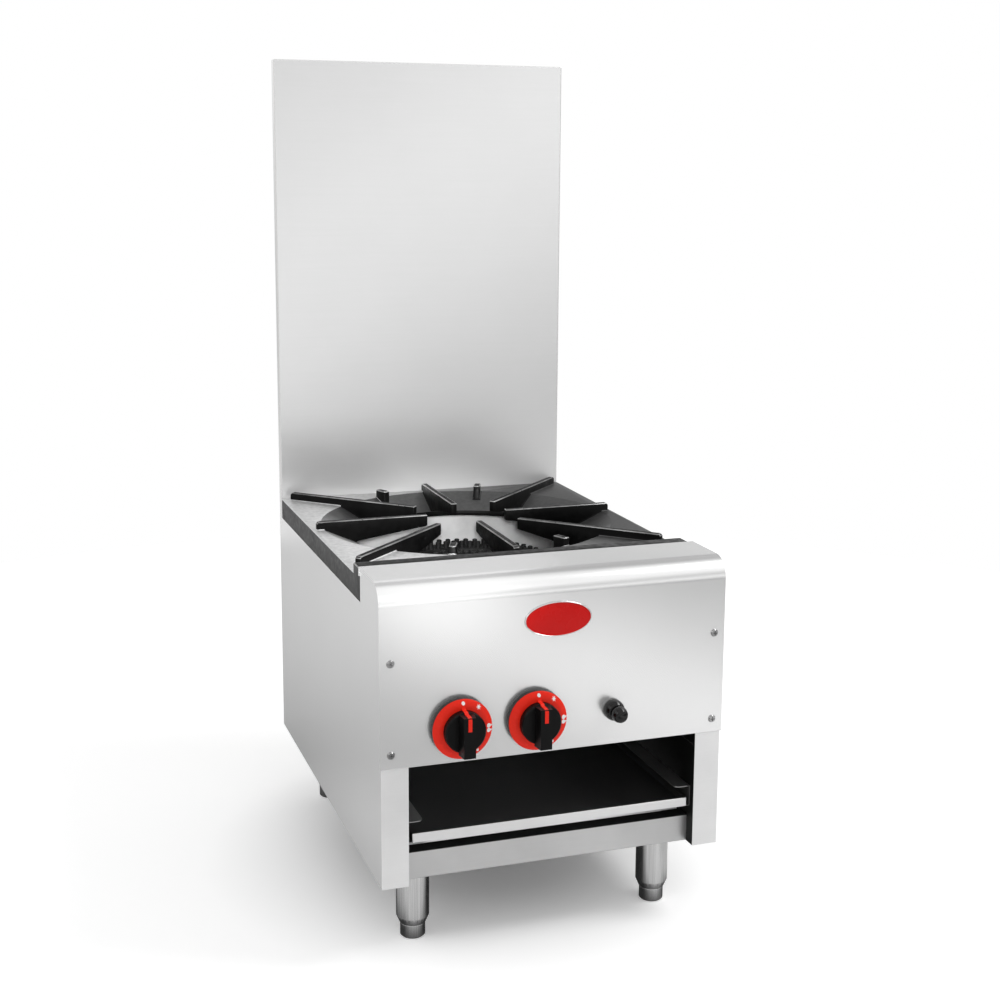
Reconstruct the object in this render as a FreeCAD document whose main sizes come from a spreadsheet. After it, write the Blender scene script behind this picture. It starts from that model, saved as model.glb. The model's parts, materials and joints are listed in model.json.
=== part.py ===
import FreeCAD, Part
import math
import os
import Sketcher
from FreeCAD import Placement, Rotation, Vector

# Free-standing single burner gas stove with a tall splashback.
# Millimetres, +Z up, front towards -Y, origin on the floor at the middle of the bounding box.

DIMENSIONS = {
    # cabinet
    "body_width": 457.0,
    "body_depth": 625.0,
    "body_bottom": 102.0,
    "panel_below_controls": 46.0,
    "ledge_height": 444.0,
    "sheet": 1.2,
    "flange_width": 35.0,
    "fold_width": 25.0,
    "ledge_width": 20.0,
    "back_panel_lap": 30.0,
    # control panel with its rounded nose
    "panel_overhang": 1.8,
    "nose_rise": 46.0,
    "nose_depth": 100.0,
    "nose_radius": 28.0,
    "nose_lip": 12.0,
    "panel_return": 18.0,
    "badge_width": 89.0,
    "badge_height": 45.0,
    "badge_thickness": 2.0,
    "badge_drop": 14.0,
    # splashback
    "splash_top": 1139.0,
    "splash_fold_depth": 17.0,
    "splash_flange": 20.0,
    "strap_width": 20.0,
    "strap_thickness": 3.0,
    "strap_below": 144.0,
    "strap_above": 156.0,
    # rails and tray runners
    "rail_height": 36.0,
    "rail_recess": 20.0,
    "rail_flange": 22.0,
    "rear_rail_recess": 25.0,
    "runner_bottom": 154.0,
    "runner_height": 28.0,
    "runner_lip": 22.0,
    "runner_recess": 12.0,
    "tray_side_gap": 5.3,
    "tray_length": 592.0,
    "tray_height": 12.0,
    "tray_wall": 1.0,
    "tray_hem": 4.0,
    "tray_recess": 8.0,
    "tray_clearance": 0.3,
    # legs
    "leg_inset_side": 59.5,
    "leg_inset_front": 74.0,
    "leg_inset_back": 65.0,
    "leg_radius": 21.5,
    "leg_wall": 1.5,
    "leg_shoulder": 29.0,
    "leg_tip": 18.7,
    "leg_tip_radius": 17.0,
    "leg_insert_top": 45.0,
    "leg_plate_width": 96.0,
    "leg_plate_length": 62.0,
    "leg_plate_thickness": 3.0,
    "foot_radius": 16.3,
    "foot_edge": 2.0,
    "foot_gap": 0.3,
    "foot_stud_radius": 6.0,
    "foot_stud_top": 78.0,
    # cast top grate
    "grate_rise": 30.5,
    "grate_plate": 8.0,
    "grate_skirt": 8.0,
    "grate_gap": 1.5,
    "grate_rib_width": 33.0,
    "grate_rib_rise": 12.5,
    "pot_rise": 12.0,
    "dish_margin": 13.5,
    "dish_hole_radius": 163.0,
    "dish_drop": 22.5,
    "dish_wall": 7.0,
    "arm_thickness": 9.0,
    "arm_square": 60.0,
    "arm_land": 10.0,
    "arm_corner_margin": 11.5,
    "arm_tip_height": 16.0,
    "arm_edge": 3.0,
    "arm_count": 8,
    "lug_length": 22.0,
    "lug_thickness": 10.0,
    # burners
    "burner_centre_depth": 380.0,
    "burner_drop": 62.0,
    "ring_height": 24.0,
    "ring_wall": 4.5,
    "port_height": 9.0,
    "port_radius": 3.8,
    "outer_ring_radius": 120.0,
    "outer_ring_width": 34.0,
    "inner_ring_radius": 52.0,
    "inner_ring_width": 28.0,
    "port_row_offset": 7.0,
    "port_pitch": 13.0,
    "bar_offset": 64.0,
    "bar_width": 16.0,
    "bar_height": 10.0,
    "mixer_drop": 50.0,
    "mixer_radius": 15.0,
    "mixer_wall": 3.0,
    "mixer_mouth_depth": 84.0,
    "riser_radius": 12.0,
    "shutter_length": 18.0,
    "shutter_wall": 2.5,
    "shutter_clearance": 0.05,
    # gas train
    "control_drop": 28.0,
    "left_valve_x": -128.0,
    "right_valve_x": -29.5,
    "manifold_depth": 70.0,
    "pipe_radius": 10.65,
    "thread_radius": 10.48,
    "thread_length": 20.0,
    "pipe_wall": 2.6,
    "manifold_end": 37.0,
    "inlet_inset": 48.5,
    "inlet_reach": 32.0,
    "fitting_radius": 14.5,
    "elbow_bore": 7.0,
    "locknut_thickness": 6.0,
    "locknut_radius": 18.0,
    "valve_radius": 14.0,
    "valve_front_depth": 20.0,
    "valve_back_depth": 56.0,
    "valve_outlet_depth": 38.0,
    "valve_arm_radius": 8.0,
    "valve_riser_radius": 6.5,
    "jet_seat_depth": 70.0,
    "jet_radius": 6.5,
    "jet_tip_radius": 4.0,
    "jet_reach": 87.0,
    "stem_radius": 4.0,
    "stem_depth": 30.0,
    "stem_hole": 7.0,
    "running_clearance": 0.05,
    "plunger_radius": 3.0,
    "plunger_length": 14.0,
    "push_travel": 4.0,
    "push_gap": 0.2,
    "baffle_depth": 112.0,
    "baffle_rise": 4.0,
    "baffle_gap": 2.0,
    "bracket_width": 20.0,
    "bracket_thickness": 3.0,
    # knobs
    "dial_radius": 38.5,
    "dial_base_depth": 8.4,
    "dial_front_radius": 30.0,
    "dial_depth": 7.0,
    "dial_gap": 4.4,
    "knob_radius": 26.0,
    "knob_depth": 11.0,
    "grip_width": 19.0,
    "grip_depth": 16.0,
    "grip_above": 24.0,
    "grip_below": 30.0,
    "knob_edge": 2.0,
    # igniter
    "button_x": 76.0,
    "igniter_radius": 9.0,
    "igniter_depth": 54.0,
    "collar_radius": 13.5,
    "collar_front_radius": 12.0,
    "collar_depth": 14.0,
    "button_radius": 8.0,
    "button_head_radius": 10.5,
    "button_head_depth": 13.0,
    "button_round": 5.0,
    "button_travel": 5.0,
    "lead_radius": 1.6,
    "electrode_reach": 58.0,
    "electrode_radius": 4.0,
    "electrode_below": 30.0,
    "electrode_above": 18.0,
    "electrode_tip": 17.0,
    "thermocouple_x": 20.0,
    "thermocouple_pitch": 12.0,
    "thermocouple_reach": 12.0,
    # fasteners
    "screw_inset": 12.5,
    "screw_low_rise": 18.0,
    "screw_high_drop": 52.0,
    "screw_radius": 2.0,
    "screw_head_radius": 5.2,
    "screw_head_height": 2.6,
    "screw_clearance": 0.3,
    "bolt_head_radius": 6.5,
    "bolt_head_height": 4.0,
    "bolt_radius": 3.0,
}


class Size:
    """A length that carries its number together with the sheet expression it comes from."""

    def __init__(self, value, text):
        self.value = value
        self.text = text

    def __add__(self, other):
        other = as_size(other)
        return Size(self.value + other.value, f"({self.text} + {other.text})")

    def __radd__(self, other):
        return as_size(other) + self

    def __sub__(self, other):
        other = as_size(other)
        return Size(self.value - other.value, f"({self.text} - {other.text})")

    def __rsub__(self, other):
        return as_size(other) - self

    def __mul__(self, other):
        other = as_size(other)
        return Size(self.value * other.value, f"({self.text} * {other.text})")

    def __rmul__(self, other):
        return self * other

    def __truediv__(self, other):
        other = as_size(other)
        return Size(self.value / other.value, f"({self.text} / {other.text})")

    def __neg__(self):
        return as_size(0) - self


def as_size(number):
    if isinstance(number, Size):
        return number
    return Size(float(number), f"({number})")


def least(first, second):
    """The smaller of two sizes, as an expression that follows both."""
    return Size(min(first.value, second.value), f"min({first.text}; {second.text})")


class Dimensions:
    """Gives each driving dimension as a Size bound to its cell in the sheet."""

    def __getattr__(self, alias):
        return Size(DIMENSIONS[alias], f"dims.{alias}")


dim = Dimensions()
doc = FreeCAD.newDocument("gas_stove")
sheet = doc.addObject("Spreadsheet::Sheet", "dims")
for row, (alias, value) in enumerate(DIMENSIONS.items(), start=1):
    sheet.set(f"A{row}", alias)
    sheet.set(f"B{row}", str(value))
    sheet.setAlias(f"B{row}", alias)
doc.recompute()

SUBPARTS = []


# General helpers

def bind(thing, prop, size):
    thing.setExpression(prop, as_size(size).text)


def place(thing, x, y, z, turn=Rotation()):
    thing.Placement = Placement(Vector(), turn)
    bind(thing, "Placement.Base.x", x)
    bind(thing, "Placement.Base.y", y)
    bind(thing, "Placement.Base.z", z)


def keep(thing, label):
    thing.Label = label
    SUBPARTS.append(thing)
    return thing


TOWARDS = {
    "+z": Rotation(),
    "+y": Rotation(Vector(1, 0, 0), -90),
    "-y": Rotation(Vector(1, 0, 0), 90),
    "+x": Rotation(Vector(0, 1, 0), 90),
}


def box(xs, ys, zs):
    """A block between two sizes along each axis, in either order."""
    solid = doc.addObject("Part::Box", "block")
    spans = []
    for first, second in (xs, ys, zs):
        low, high = sorted((as_size(first), as_size(second)), key=lambda size: size.value)
        spans.append((low, high))
    for prop, (low, high) in zip(("Length", "Width", "Height"), spans):
        bind(solid, prop, high - low)
    place(solid, spans[0][0], spans[1][0], spans[2][0])
    return solid


def cylinder(radius, length, start, towards="+z"):
    solid = doc.addObject("Part::Cylinder", "round")
    bind(solid, "Radius", radius)
    bind(solid, "Height", length)
    place(solid, *start, TOWARDS[towards])
    return solid


def cone(low_radius, high_radius, length, start, towards="+z"):
    solid = doc.addObject("Part::Cone", "taper")
    bind(solid, "Radius1", low_radius)
    bind(solid, "Radius2", high_radius)
    bind(solid, "Height", length)
    place(solid, *start, TOWARDS[towards])
    return solid


def fuse(*solids):
    joined = doc.addObject("Part::MultiFuse", "joined")
    joined.Shapes = list(solids)
    joined.Refine = True
    return joined


def cut(base, *tools):
    left = doc.addObject("Part::Cut", "cut")
    left.Base = base
    left.Tool = tools[0] if len(tools) == 1 else fuse(*tools)
    left.Refine = True
    return left


def group(*solids):
    bundle = doc.addObject("Part::Compound", "bundle")
    bundle.Links = list(solids)
    return bundle


def new_sketch(body, plane_role):
    sketch = body.newObject("Sketcher::SketchObject", "outline")
    plane = [item for item in body.Origin.OriginFeatures if item.Role == plane_role][0]
    sketch.AttachmentSupport = (plane, [""])
    sketch.MapMode = "FlatFace"
    return sketch


def pin_point(sketch, geometry, end, across, up):
    for kind, size in (("DistanceX", across), ("DistanceY", up)):
        size = as_size(size)
        index = sketch.addConstraint(Sketcher.Constraint(kind, -1, 1, geometry, end, size.value))
        sketch.setExpression(f"Constraints[{index}]", size.text)


def draw_outline(sketch, corners):
    """Closed outline through (across, up) corners.

    A third entry makes the edge that follows that corner an arc: (centre across, centre up, radius).
    """
    count = len(corners)
    edges = []
    for number, corner in enumerate(corners):
        here = Vector(as_size(corner[0]).value, as_size(corner[1]).value, 0)
        after = corners[(number + 1) % count]
        there = Vector(as_size(after[0]).value, as_size(after[1]).value, 0)
        if len(corner) == 3:
            middle = Vector(as_size(corner[2][0]).value, as_size(corner[2][1]).value, 0)
            bulge = ((here + there) * 0.5 - middle).normalize() * as_size(corner[2][2]).value
            edge = Part.Arc(here, middle + bulge, there)
        else:
            edge = Part.LineSegment(here, there)
        edges.append(sketch.addGeometry(edge))
    starts = []
    for geometry, corner in zip(edges, corners):
        begin = sketch.getPoint(geometry, 1)
        wanted = Vector(as_size(corner[0]).value, as_size(corner[1]).value, 0)
        starts.append(1 if begin.isEqual(wanted, 1e-6) else 2)
    for number, geometry in enumerate(edges):
        following = (number + 1) % count
        sketch.addConstraint(Sketcher.Constraint(
            "Coincident", geometry, 3 - starts[number], edges[following], starts[following]))
    for geometry, start, corner in zip(edges, starts, corners):
        pin_point(sketch, geometry, start, corner[0], corner[1])
        if len(corner) == 3:
            radius = as_size(corner[2][2])
            index = sketch.addConstraint(Sketcher.Constraint("Radius", geometry, radius.value))
            sketch.setExpression(f"Constraints[{index}]", radius.text)


def padded(corners, plane_role, length):
    """A body padded to both sides of its plane; the XZ plane is extruded along Y, YZ along X."""
    body = doc.addObject("PartDesign::Body", "body")
    sketch = new_sketch(body, plane_role)
    draw_outline(sketch, corners)
    pad = body.newObject("PartDesign::Pad", "pad")
    pad.Profile = sketch
    pad.SideType = "Symmetric"
    bind(pad, "Length", length)
    return body


def revolved(corners):
    """A body turned about its own Z axis from (radius, height) corners."""
    body = doc.addObject("PartDesign::Body", "body")
    sketch = new_sketch(body, "XZ_Plane")
    draw_outline(sketch, corners)
    turn = body.newObject("PartDesign::Revolution", "turned")
    turn.Profile = sketch
    turn.ReferenceAxis = (sketch, ["V_Axis"])
    turn.Angle = 360
    return body


def screw(x, y, z, towards, head_radius, head_height, radius, shank):
    """A headed fastener with its head's seat at x, y, z; the shank points away from the head."""
    opposite = {"-y": "+y", "+y": "-y", "+z": "-z"}[towards]
    head = cylinder(head_radius, head_height, (x, y, z), towards)
    body_start = {"+y": (x, y, z), "-y": (x, y - shank, z), "-z": (x, y, z - shank)}[opposite]
    body = cylinder(radius, shank, body_start, "+y" if opposite != "-z" else "+z")
    return fuse(head, body)


# Places that several pieces share

half_width = dim.body_width / 2
grip_front = dim.dial_base_depth + dim.dial_depth + dim.knob_depth + dim.grip_depth
front = (grip_front - dim.body_depth - dim.inlet_reach) / 2
back = front + dim.body_depth
inner_half = half_width - dim.sheet
bottom = dim.body_bottom
ledge = dim.ledge_height
opening_half = half_width - dim.flange_width
back_inner = back - 2 * dim.sheet
splash_front = back - dim.splash_fold_depth
centre_y = front + dim.burner_centre_depth
plate_top = ledge + dim.grate_rise
pot_plane = plate_top + dim.pot_rise
rail_top = bottom + dim.rail_height
nose_top = ledge + dim.nose_rise
burner_base = ledge - dim.burner_drop
mixer_z = burner_base - dim.mixer_drop
control_z = mixer_z - dim.control_drop
opening_top = control_z - dim.panel_below_controls
baffle_bottom = opening_top + dim.baffle_rise
badge_z = ledge - dim.badge_drop
screw_x = half_width - dim.screw_inset
screw_rows = (opening_top + dim.screw_low_rise, ledge - dim.screw_high_drop)
inlet_x = half_width - dim.inlet_inset
manifold_left = dim.left_valve_x - dim.manifold_end
grate_back = splash_front - dim.grate_gap
plate_reach = least(half_width, grate_back - centre_y)
dish_radius = plate_reach - dim.dish_margin
valve_places = {"left": dim.left_valve_x, "right": dim.right_valve_x}
sides = {"left": -1, "right": 1}
strap_middle = half_width - dim.fold_width / 2
strap_bottom = ledge - dim.strap_below
strap_top = ledge + dim.strap_above
strap_screw_heights = [
    strap_bottom + dim.strap_width,
    ledge - dim.strap_width,
    ledge + dim.strap_width,
    strap_top - dim.strap_width,
]
screw_hole = dim.screw_radius + dim.screw_clearance
drill = 4 * dim.sheet


# Cabinet

def side_panel(name, side):
    outline = [
        (front + dim.sheet, bottom),
        (back, bottom),
        (back, ledge),
        (front + dim.nose_depth - dim.sheet, ledge),
        (front + dim.nose_depth - dim.sheet, nose_top - dim.sheet),
        (front + dim.nose_radius, nose_top - dim.sheet,
         (front + dim.nose_radius, nose_top - dim.nose_radius, dim.nose_radius - dim.sheet)),
        (front + dim.sheet, nose_top - dim.nose_radius),
    ]
    wall = padded(outline, "YZ_Plane", dim.sheet)
    place(wall, side * (half_width - dim.sheet / 2), 0, 0)
    front_flange = box((side * opening_half, side * half_width),
                       (front + dim.sheet, front + 2 * dim.sheet), (bottom, ledge))
    front_return = box((side * opening_half, side * (opening_half + dim.sheet)),
                       (front + dim.sheet, front + dim.rail_recess + dim.rail_flange),
                       (bottom, opening_top - dim.panel_return))
    back_flange = box((side * (half_width - dim.fold_width), side * half_width),
                      (back - dim.sheet, back), (bottom, ledge))
    foot_flange = box((side * (half_width - dim.fold_width), side * half_width),
                      (front + dim.sheet, back), (bottom, bottom + dim.sheet))
    top_ledge = box((side * (half_width - dim.ledge_width), side * half_width),
                    (front + dim.nose_depth + dim.grate_gap, splash_front), (ledge - dim.sheet, ledge))
    shell = fuse(wall, front_flange, front_return, back_flange, foot_flange, top_ledge)
    holes = []
    for height in screw_rows:
        holes.append(cylinder(screw_hole, drill, (side * screw_x, front - dim.sheet, height), "+y"))
    for height in strap_screw_heights[:2]:
        holes.append(cylinder(screw_hole, drill, (side * strap_middle, back - 2 * dim.sheet, height), "+y"))
    for y in leg_bolt_rows():
        holes.append(cylinder(dim.bolt_radius + dim.screw_clearance, drill,
                              (side * strap_middle, y, bottom - dim.sheet)))
    keep(cut(shell, *holes), name)


def leg_bolt_rows():
    """Y of the bolts that hold the leg plates, two rows for each plate."""
    rows = []
    for y in leg_rows().values():
        rows.append(y - dim.leg_plate_length / 3)
        rows.append(y + dim.leg_plate_length / 3)
    return rows


def leg_rows():
    return {"front": front + dim.leg_inset_front, "rear": back - dim.leg_inset_back}


def control_panel():
    face = front
    top = nose_top
    rear = front + dim.nose_depth
    low = opening_top
    t = dim.sheet
    bend = dim.nose_radius
    outline = [
        (front + dim.panel_return, low),
        (face, low),
        (face, top - bend, (face + bend, top - bend, bend)),
        (face + bend, top),
        (rear, top),
        (rear, top - dim.nose_lip),
        (rear - t, top - dim.nose_lip),
        (rear - t, top - t),
        (face + bend, top - t, (face + bend, top - bend, bend - t)),
        (face + t, top - bend),
        (face + t, low + t),
        (front + dim.panel_return, low + t),
    ]
    skin = padded(outline, "YZ_Plane", dim.body_width + 2 * dim.panel_overhang)
    tools = []
    for side in sides.values():
        tools.append(box((side * (opening_half - dim.panel_overhang), side * (half_width + dim.body_width)),
                         (face + t, rear - 2 * t), (low - t, low + 2 * t)))
        for height in screw_rows:
            tools.append(cylinder(screw_hole, drill, (side * screw_x, face - t, height), "+y"))
    for x in valve_places.values():
        tools.append(cylinder(dim.stem_hole, drill, (x, face - t, control_z), "+y"))
    igniter_hole = dim.igniter_radius + dim.screw_clearance
    tools.append(cylinder(igniter_hole, drill, (dim.button_x, face - t, control_z), "+y"))
    keep(cut(skin, *tools), "front_control_panel")


def badge_plate():
    oval = doc.addObject("PartDesign::Body", "body")
    sketch = new_sketch(oval, "XZ_Plane")
    shape = Part.Ellipse(Vector(), dim.badge_width.value / 2, dim.badge_height.value / 2)
    edge = sketch.addGeometry(shape)
    sketch.exposeInternalGeometry(edge)
    major, minor = 1, 2
    sketch.addConstraint(Sketcher.Constraint("Coincident", edge, 3, -1, 1))
    sketch.addConstraint(Sketcher.Constraint("Horizontal", major))
    for line, size in ((major, dim.badge_width), (minor, dim.badge_height)):
        index = sketch.addConstraint(Sketcher.Constraint("Distance", line, size.value))
        sketch.setExpression(f"Constraints[{index}]", size.text)
    pad = oval.newObject("PartDesign::Pad", "pad")
    pad.Profile = sketch
    bind(pad, "Length", dim.badge_thickness)
    place(oval, 0, front, badge_z)
    keep(oval, "badge_plate")


def back_panel():
    skin = box((-inner_half, inner_half), (back_inner, back - dim.sheet),
               (bottom + dim.sheet, ledge + dim.back_panel_lap))
    hole = cylinder(dim.pipe_radius + dim.screw_clearance, drill,
                    (inlet_x, back_inner - dim.sheet, control_z), "+y")
    tools = [hole]
    for side in sides.values():
        for height in strap_screw_heights[:3]:
            tools.append(cylinder(screw_hole, drill,
                                  (side * strap_middle, back_inner - dim.sheet, height), "+y"))
    keep(cut(skin, *tools), "back_panel")


def splashback():
    t = dim.sheet
    top = dim.splash_top
    pieces = [
        box((-half_width, half_width), (splash_front, splash_front + t), (ledge, top)),
        box((-half_width, half_width), (splash_front, back), (top - t, top)),
        box((-half_width, half_width), (back - t, back), (top - dim.splash_flange, top)),
    ]
    for side in sides.values():
        pieces.append(box((side * inner_half, side * half_width), (splash_front, back), (ledge, top)))
        pieces.append(box((side * (half_width - dim.fold_width), side * half_width),
                          (back - t, back), (ledge, top)))
    holes = []
    for side in sides.values():
        for height in strap_screw_heights[2:]:
            holes.append(cylinder(screw_hole, drill, (side * strap_middle, back - 2 * t, height), "+y"))
    keep(cut(fuse(*pieces), *holes), "splashback")


def splashback_straps():
    straps = []
    screws = []
    for side in sides.values():
        bar = box((side * (strap_middle - dim.strap_width / 2), side * (strap_middle + dim.strap_width / 2)),
                  (back, back + dim.strap_thickness), (strap_bottom, strap_top))
        holes = []
        for height in strap_screw_heights:
            holes.append(cylinder(screw_hole, 3 * dim.strap_thickness,
                                  (side * strap_middle, back - dim.strap_thickness, height), "+y"))
            screws.append(screw(side * strap_middle, back + dim.strap_thickness, height, "+y",
                                dim.screw_head_radius, dim.screw_head_height, dim.screw_radius,
                                dim.strap_thickness + 3 * dim.sheet))
        straps.append(cut(bar, *holes))
    keep(group(*straps), "splashback_straps")
    keep(group(*screws), "splashback_screws")


def panel_screws():
    screws = []
    for side in sides.values():
        for height in screw_rows:
            screws.append(screw(side * screw_x, front, height, "-y", dim.screw_head_radius,
                                dim.screw_head_height, dim.screw_radius, drill))
    keep(group(*screws), "front_panel_screws")


def channel_rail(name, xs, web_y, flange_y, zs):
    """A channel section with its web at web_y and both flanges reaching to flange_y."""
    t = dim.sheet
    inward = 1 if flange_y.value > web_y.value else -1
    low, high = zs
    web = box(xs, (web_y, web_y + inward * t), (low, high))
    lower = box(xs, (web_y, flange_y), (low, low + t))
    upper = box(xs, (web_y, flange_y), (high - t, high))
    keep(fuse(web, lower, upper), name)


def lower_rails():
    face = front + dim.rail_recess
    channel_rail("front_lower_rail", (-opening_half, opening_half), face, face + dim.rail_flange,
                 (bottom, rail_top))
    rear_half = half_width - dim.fold_width
    channel_rail("rear_lower_rail", (-rear_half, rear_half), back_inner - dim.rear_rail_recess, back_inner,
                 (bottom + dim.sheet, rail_top))


def tray_runner(name, side):
    t = dim.sheet
    low = dim.runner_bottom
    high = low + dim.runner_height
    ys = (front + dim.runner_recess, back_inner)
    web = box((side * (opening_half - t), side * opening_half), ys, (low, high))
    lower = box((side * (opening_half - dim.runner_lip), side * opening_half), ys, (low, low + t))
    upper = box((side * (opening_half - dim.runner_lip), side * opening_half), ys, (high - t, high))
    keep(fuse(web, lower, upper), name)


def drip_tray():
    half = opening_half - dim.sheet - dim.tray_side_gap
    y0 = front + dim.tray_recess
    y1 = y0 + dim.tray_length
    z0 = dim.runner_bottom + dim.sheet + dim.tray_clearance
    z1 = z0 + dim.tray_height
    wall = dim.tray_wall
    pan = box((-half, half), (y0, y1), (z0, z1))
    inside = box((-half + wall, half - wall), (y0 + dim.tray_hem, y1 - wall), (z0 + wall, z1 + wall))
    keep(cut(pan, inside), "drip_tray")


# Legs

def leg_corner(name, x, y):
    """A tapered leg with its welded plate, and the foot that screws into its insert."""
    t = dim.sheet
    top = bottom + t
    bore = dim.foot_stud_radius + dim.running_clearance
    leg = revolved([
        (bore, dim.leg_tip),
        (dim.leg_tip_radius, dim.leg_tip),
        (dim.leg_radius, dim.leg_shoulder),
        (dim.leg_radius, top),
        (dim.leg_radius - dim.leg_wall, top),
        (dim.leg_radius - dim.leg_wall, dim.leg_insert_top),
        (bore, dim.leg_insert_top),
    ])
    place(leg, x, y, 0)
    keep(leg, f"{name}_leg")
    foot_top = dim.leg_tip - dim.foot_gap
    foot = revolved([
        (0, 0),
        (dim.foot_radius - dim.foot_edge, 0),
        (dim.foot_radius, dim.foot_edge),
        (dim.foot_radius, foot_top),
        (dim.foot_stud_radius, foot_top),
        (dim.foot_stud_radius, dim.foot_stud_top),
        (0, dim.foot_stud_top),
    ])
    place(foot, x, y, 0)
    keep(foot, f"{name}_foot")


def legs():
    plates = []
    bolts = []
    plate_low = bottom + dim.sheet
    plate_high = plate_low + dim.leg_plate_thickness
    hole = dim.bolt_radius + dim.screw_clearance
    for row, y in leg_rows().items():
        for side_name, side in sides.items():
            leg_corner(f"{row}_{side_name}", side * (half_width - dim.leg_inset_side), y)
            plate = box((side * (inner_half - dim.leg_plate_width), side * inner_half),
                        (y - dim.leg_plate_length / 2, y + dim.leg_plate_length / 2), (plate_low, plate_high))
            holes = []
            for bolt_y in (y - dim.leg_plate_length / 3, y + dim.leg_plate_length / 3):
                holes.append(cylinder(hole, 3 * dim.leg_plate_thickness,
                                      (side * strap_middle, bolt_y, plate_low - dim.leg_plate_thickness)))
                bolts.append(screw(side * strap_middle, bolt_y, plate_high, "+z", dim.bolt_head_radius,
                                   dim.bolt_head_height, dim.bolt_radius,
                                   dim.leg_plate_thickness + 3 * dim.sheet))
            plates.append(cut(plate, *holes))
    keep(group(*plates), "leg_plates")
    keep(group(*bolts), "leg_plate_bolts")


# Cast top grate

def grate_arm(inner, reach):
    """Upright fin in its own XZ plane from the pot ring out to the plate."""
    root_bottom = plate_top - dim.dish_drop
    outline = [
        (inner, pot_plane - dim.arm_tip_height),
        (dim.dish_hole_radius, root_bottom + dim.arm_edge),
        (dim.dish_hole_radius + dim.dish_wall, root_bottom),
        (reach, plate_top - dim.grate_plate / 2),
        (reach, pot_plane - dim.arm_edge),
        (reach - dim.arm_edge, pot_plane),
        (inner, pot_plane),
    ]
    return padded(outline, "XZ_Plane", dim.arm_thickness)


def top_grate():
    y0 = front + dim.nose_depth + dim.grate_gap
    y1 = grate_back
    skirt = dim.grate_skirt
    plate_low = plate_top - dim.grate_plate
    dish_low = plate_top - dim.dish_drop
    blank = box((-half_width, half_width), (y0, y1), (ledge, plate_top))
    hollow = box((-half_width + skirt, half_width - skirt), (y0 + skirt, y1 - skirt),
                 (ledge - skirt, plate_low))
    rib = box((-half_width, half_width), (y0, y0 + dim.grate_rib_width),
              (plate_low, plate_top + dim.grate_rib_rise))
    centre = (0, centre_y, dish_low - dim.dish_wall)
    bowl_outside = cone(dim.dish_hole_radius + dim.dish_wall, dish_radius + dim.dish_wall,
                        dim.dish_drop + dim.dish_wall, centre)
    slope = (dish_radius - dim.dish_hole_radius) / dim.dish_drop
    bowl_inside = cone(dim.dish_hole_radius, dish_radius + slope * dim.dish_wall,
                       dim.dish_drop + dim.dish_wall, (0, centre_y, dish_low))
    hole = cylinder(dim.dish_hole_radius, dim.dish_drop + 2 * dim.dish_wall,
                    (0, centre_y, dish_low - 2 * dim.dish_wall))
    base = fuse(cut(blank, hollow), bowl_outside, rib)
    opened = cut(base, bowl_inside, hole)
    pieces = [opened]
    arm_step = 360 / DIMENSIONS["arm_count"]
    for number in range(DIMENSIONS["arm_count"]):
        if number % 2:
            corner_reach = plate_reach - dim.arm_corner_margin
            arm = grate_arm(dim.arm_square * math.sqrt(2), corner_reach * math.sqrt(2))
        else:
            arm = grate_arm(dim.arm_square, dish_radius + dim.arm_land)
        place(arm, 0, centre_y, 0, Rotation(Vector(0, 0, 1), arm_step * number))
        pieces.append(arm)
    beside_arm = arm_step / 2
    for angle in (90 - beside_arm, 90 + beside_arm, 270 - beside_arm, 270 + beside_arm):
        lug = padded([
            (dish_radius - dim.lug_length, dish_low),
            (dish_radius, dish_low),
            (dish_radius, pot_plane),
            (dish_radius - dim.lug_length, pot_plane),
        ], "XZ_Plane", dim.lug_thickness)
        place(lug, 0, centre_y, 0, Rotation(Vector(0, 0, 1), angle))
        pieces.append(lug)
    keep(fuse(*pieces), "top_grate")


# Burners

def burner_ring(radius, width):
    """Hollow cast ring with two staggered rows of raised gas ports."""
    inner = radius - width / 2
    outer = radius + width / 2
    top = dim.ring_height
    ring = revolved([(inner, 0), (outer, 0), (outer, top), (inner, top)])
    count = int(2 * math.pi * radius.value / dim.port_pitch.value)
    for row, row_radius in enumerate((radius - dim.port_row_offset, radius + dim.port_row_offset)):
        sketch = new_sketch(ring, "XY_Plane")
        stagger = row * math.pi / count
        across = row_radius * math.cos(stagger)
        along = row_radius * math.sin(stagger)
        edge = sketch.addGeometry(Part.Circle(Vector(across.value, along.value, 0), Vector(0, 0, 1),
                                              dim.port_radius.value))
        pin_point(sketch, edge, 3, across, along)
        index = sketch.addConstraint(Sketcher.Constraint("Radius", edge, dim.port_radius.value))
        sketch.setExpression(f"Constraints[{index}]", dim.port_radius.text)
        pad = ring.newObject("PartDesign::Pad", "port")
        pad.Profile = sketch
        bind(pad, "Length", top + dim.port_height)
        pattern = ring.newObject("PartDesign::PolarPattern", "port_row")
        pattern.Originals = [pad]
        pattern.Axis = (sketch, ["N_Axis"])
        pattern.Angle = 360
        pattern.Occurrences = count
        ring.Tip = pattern
    return ring


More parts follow.
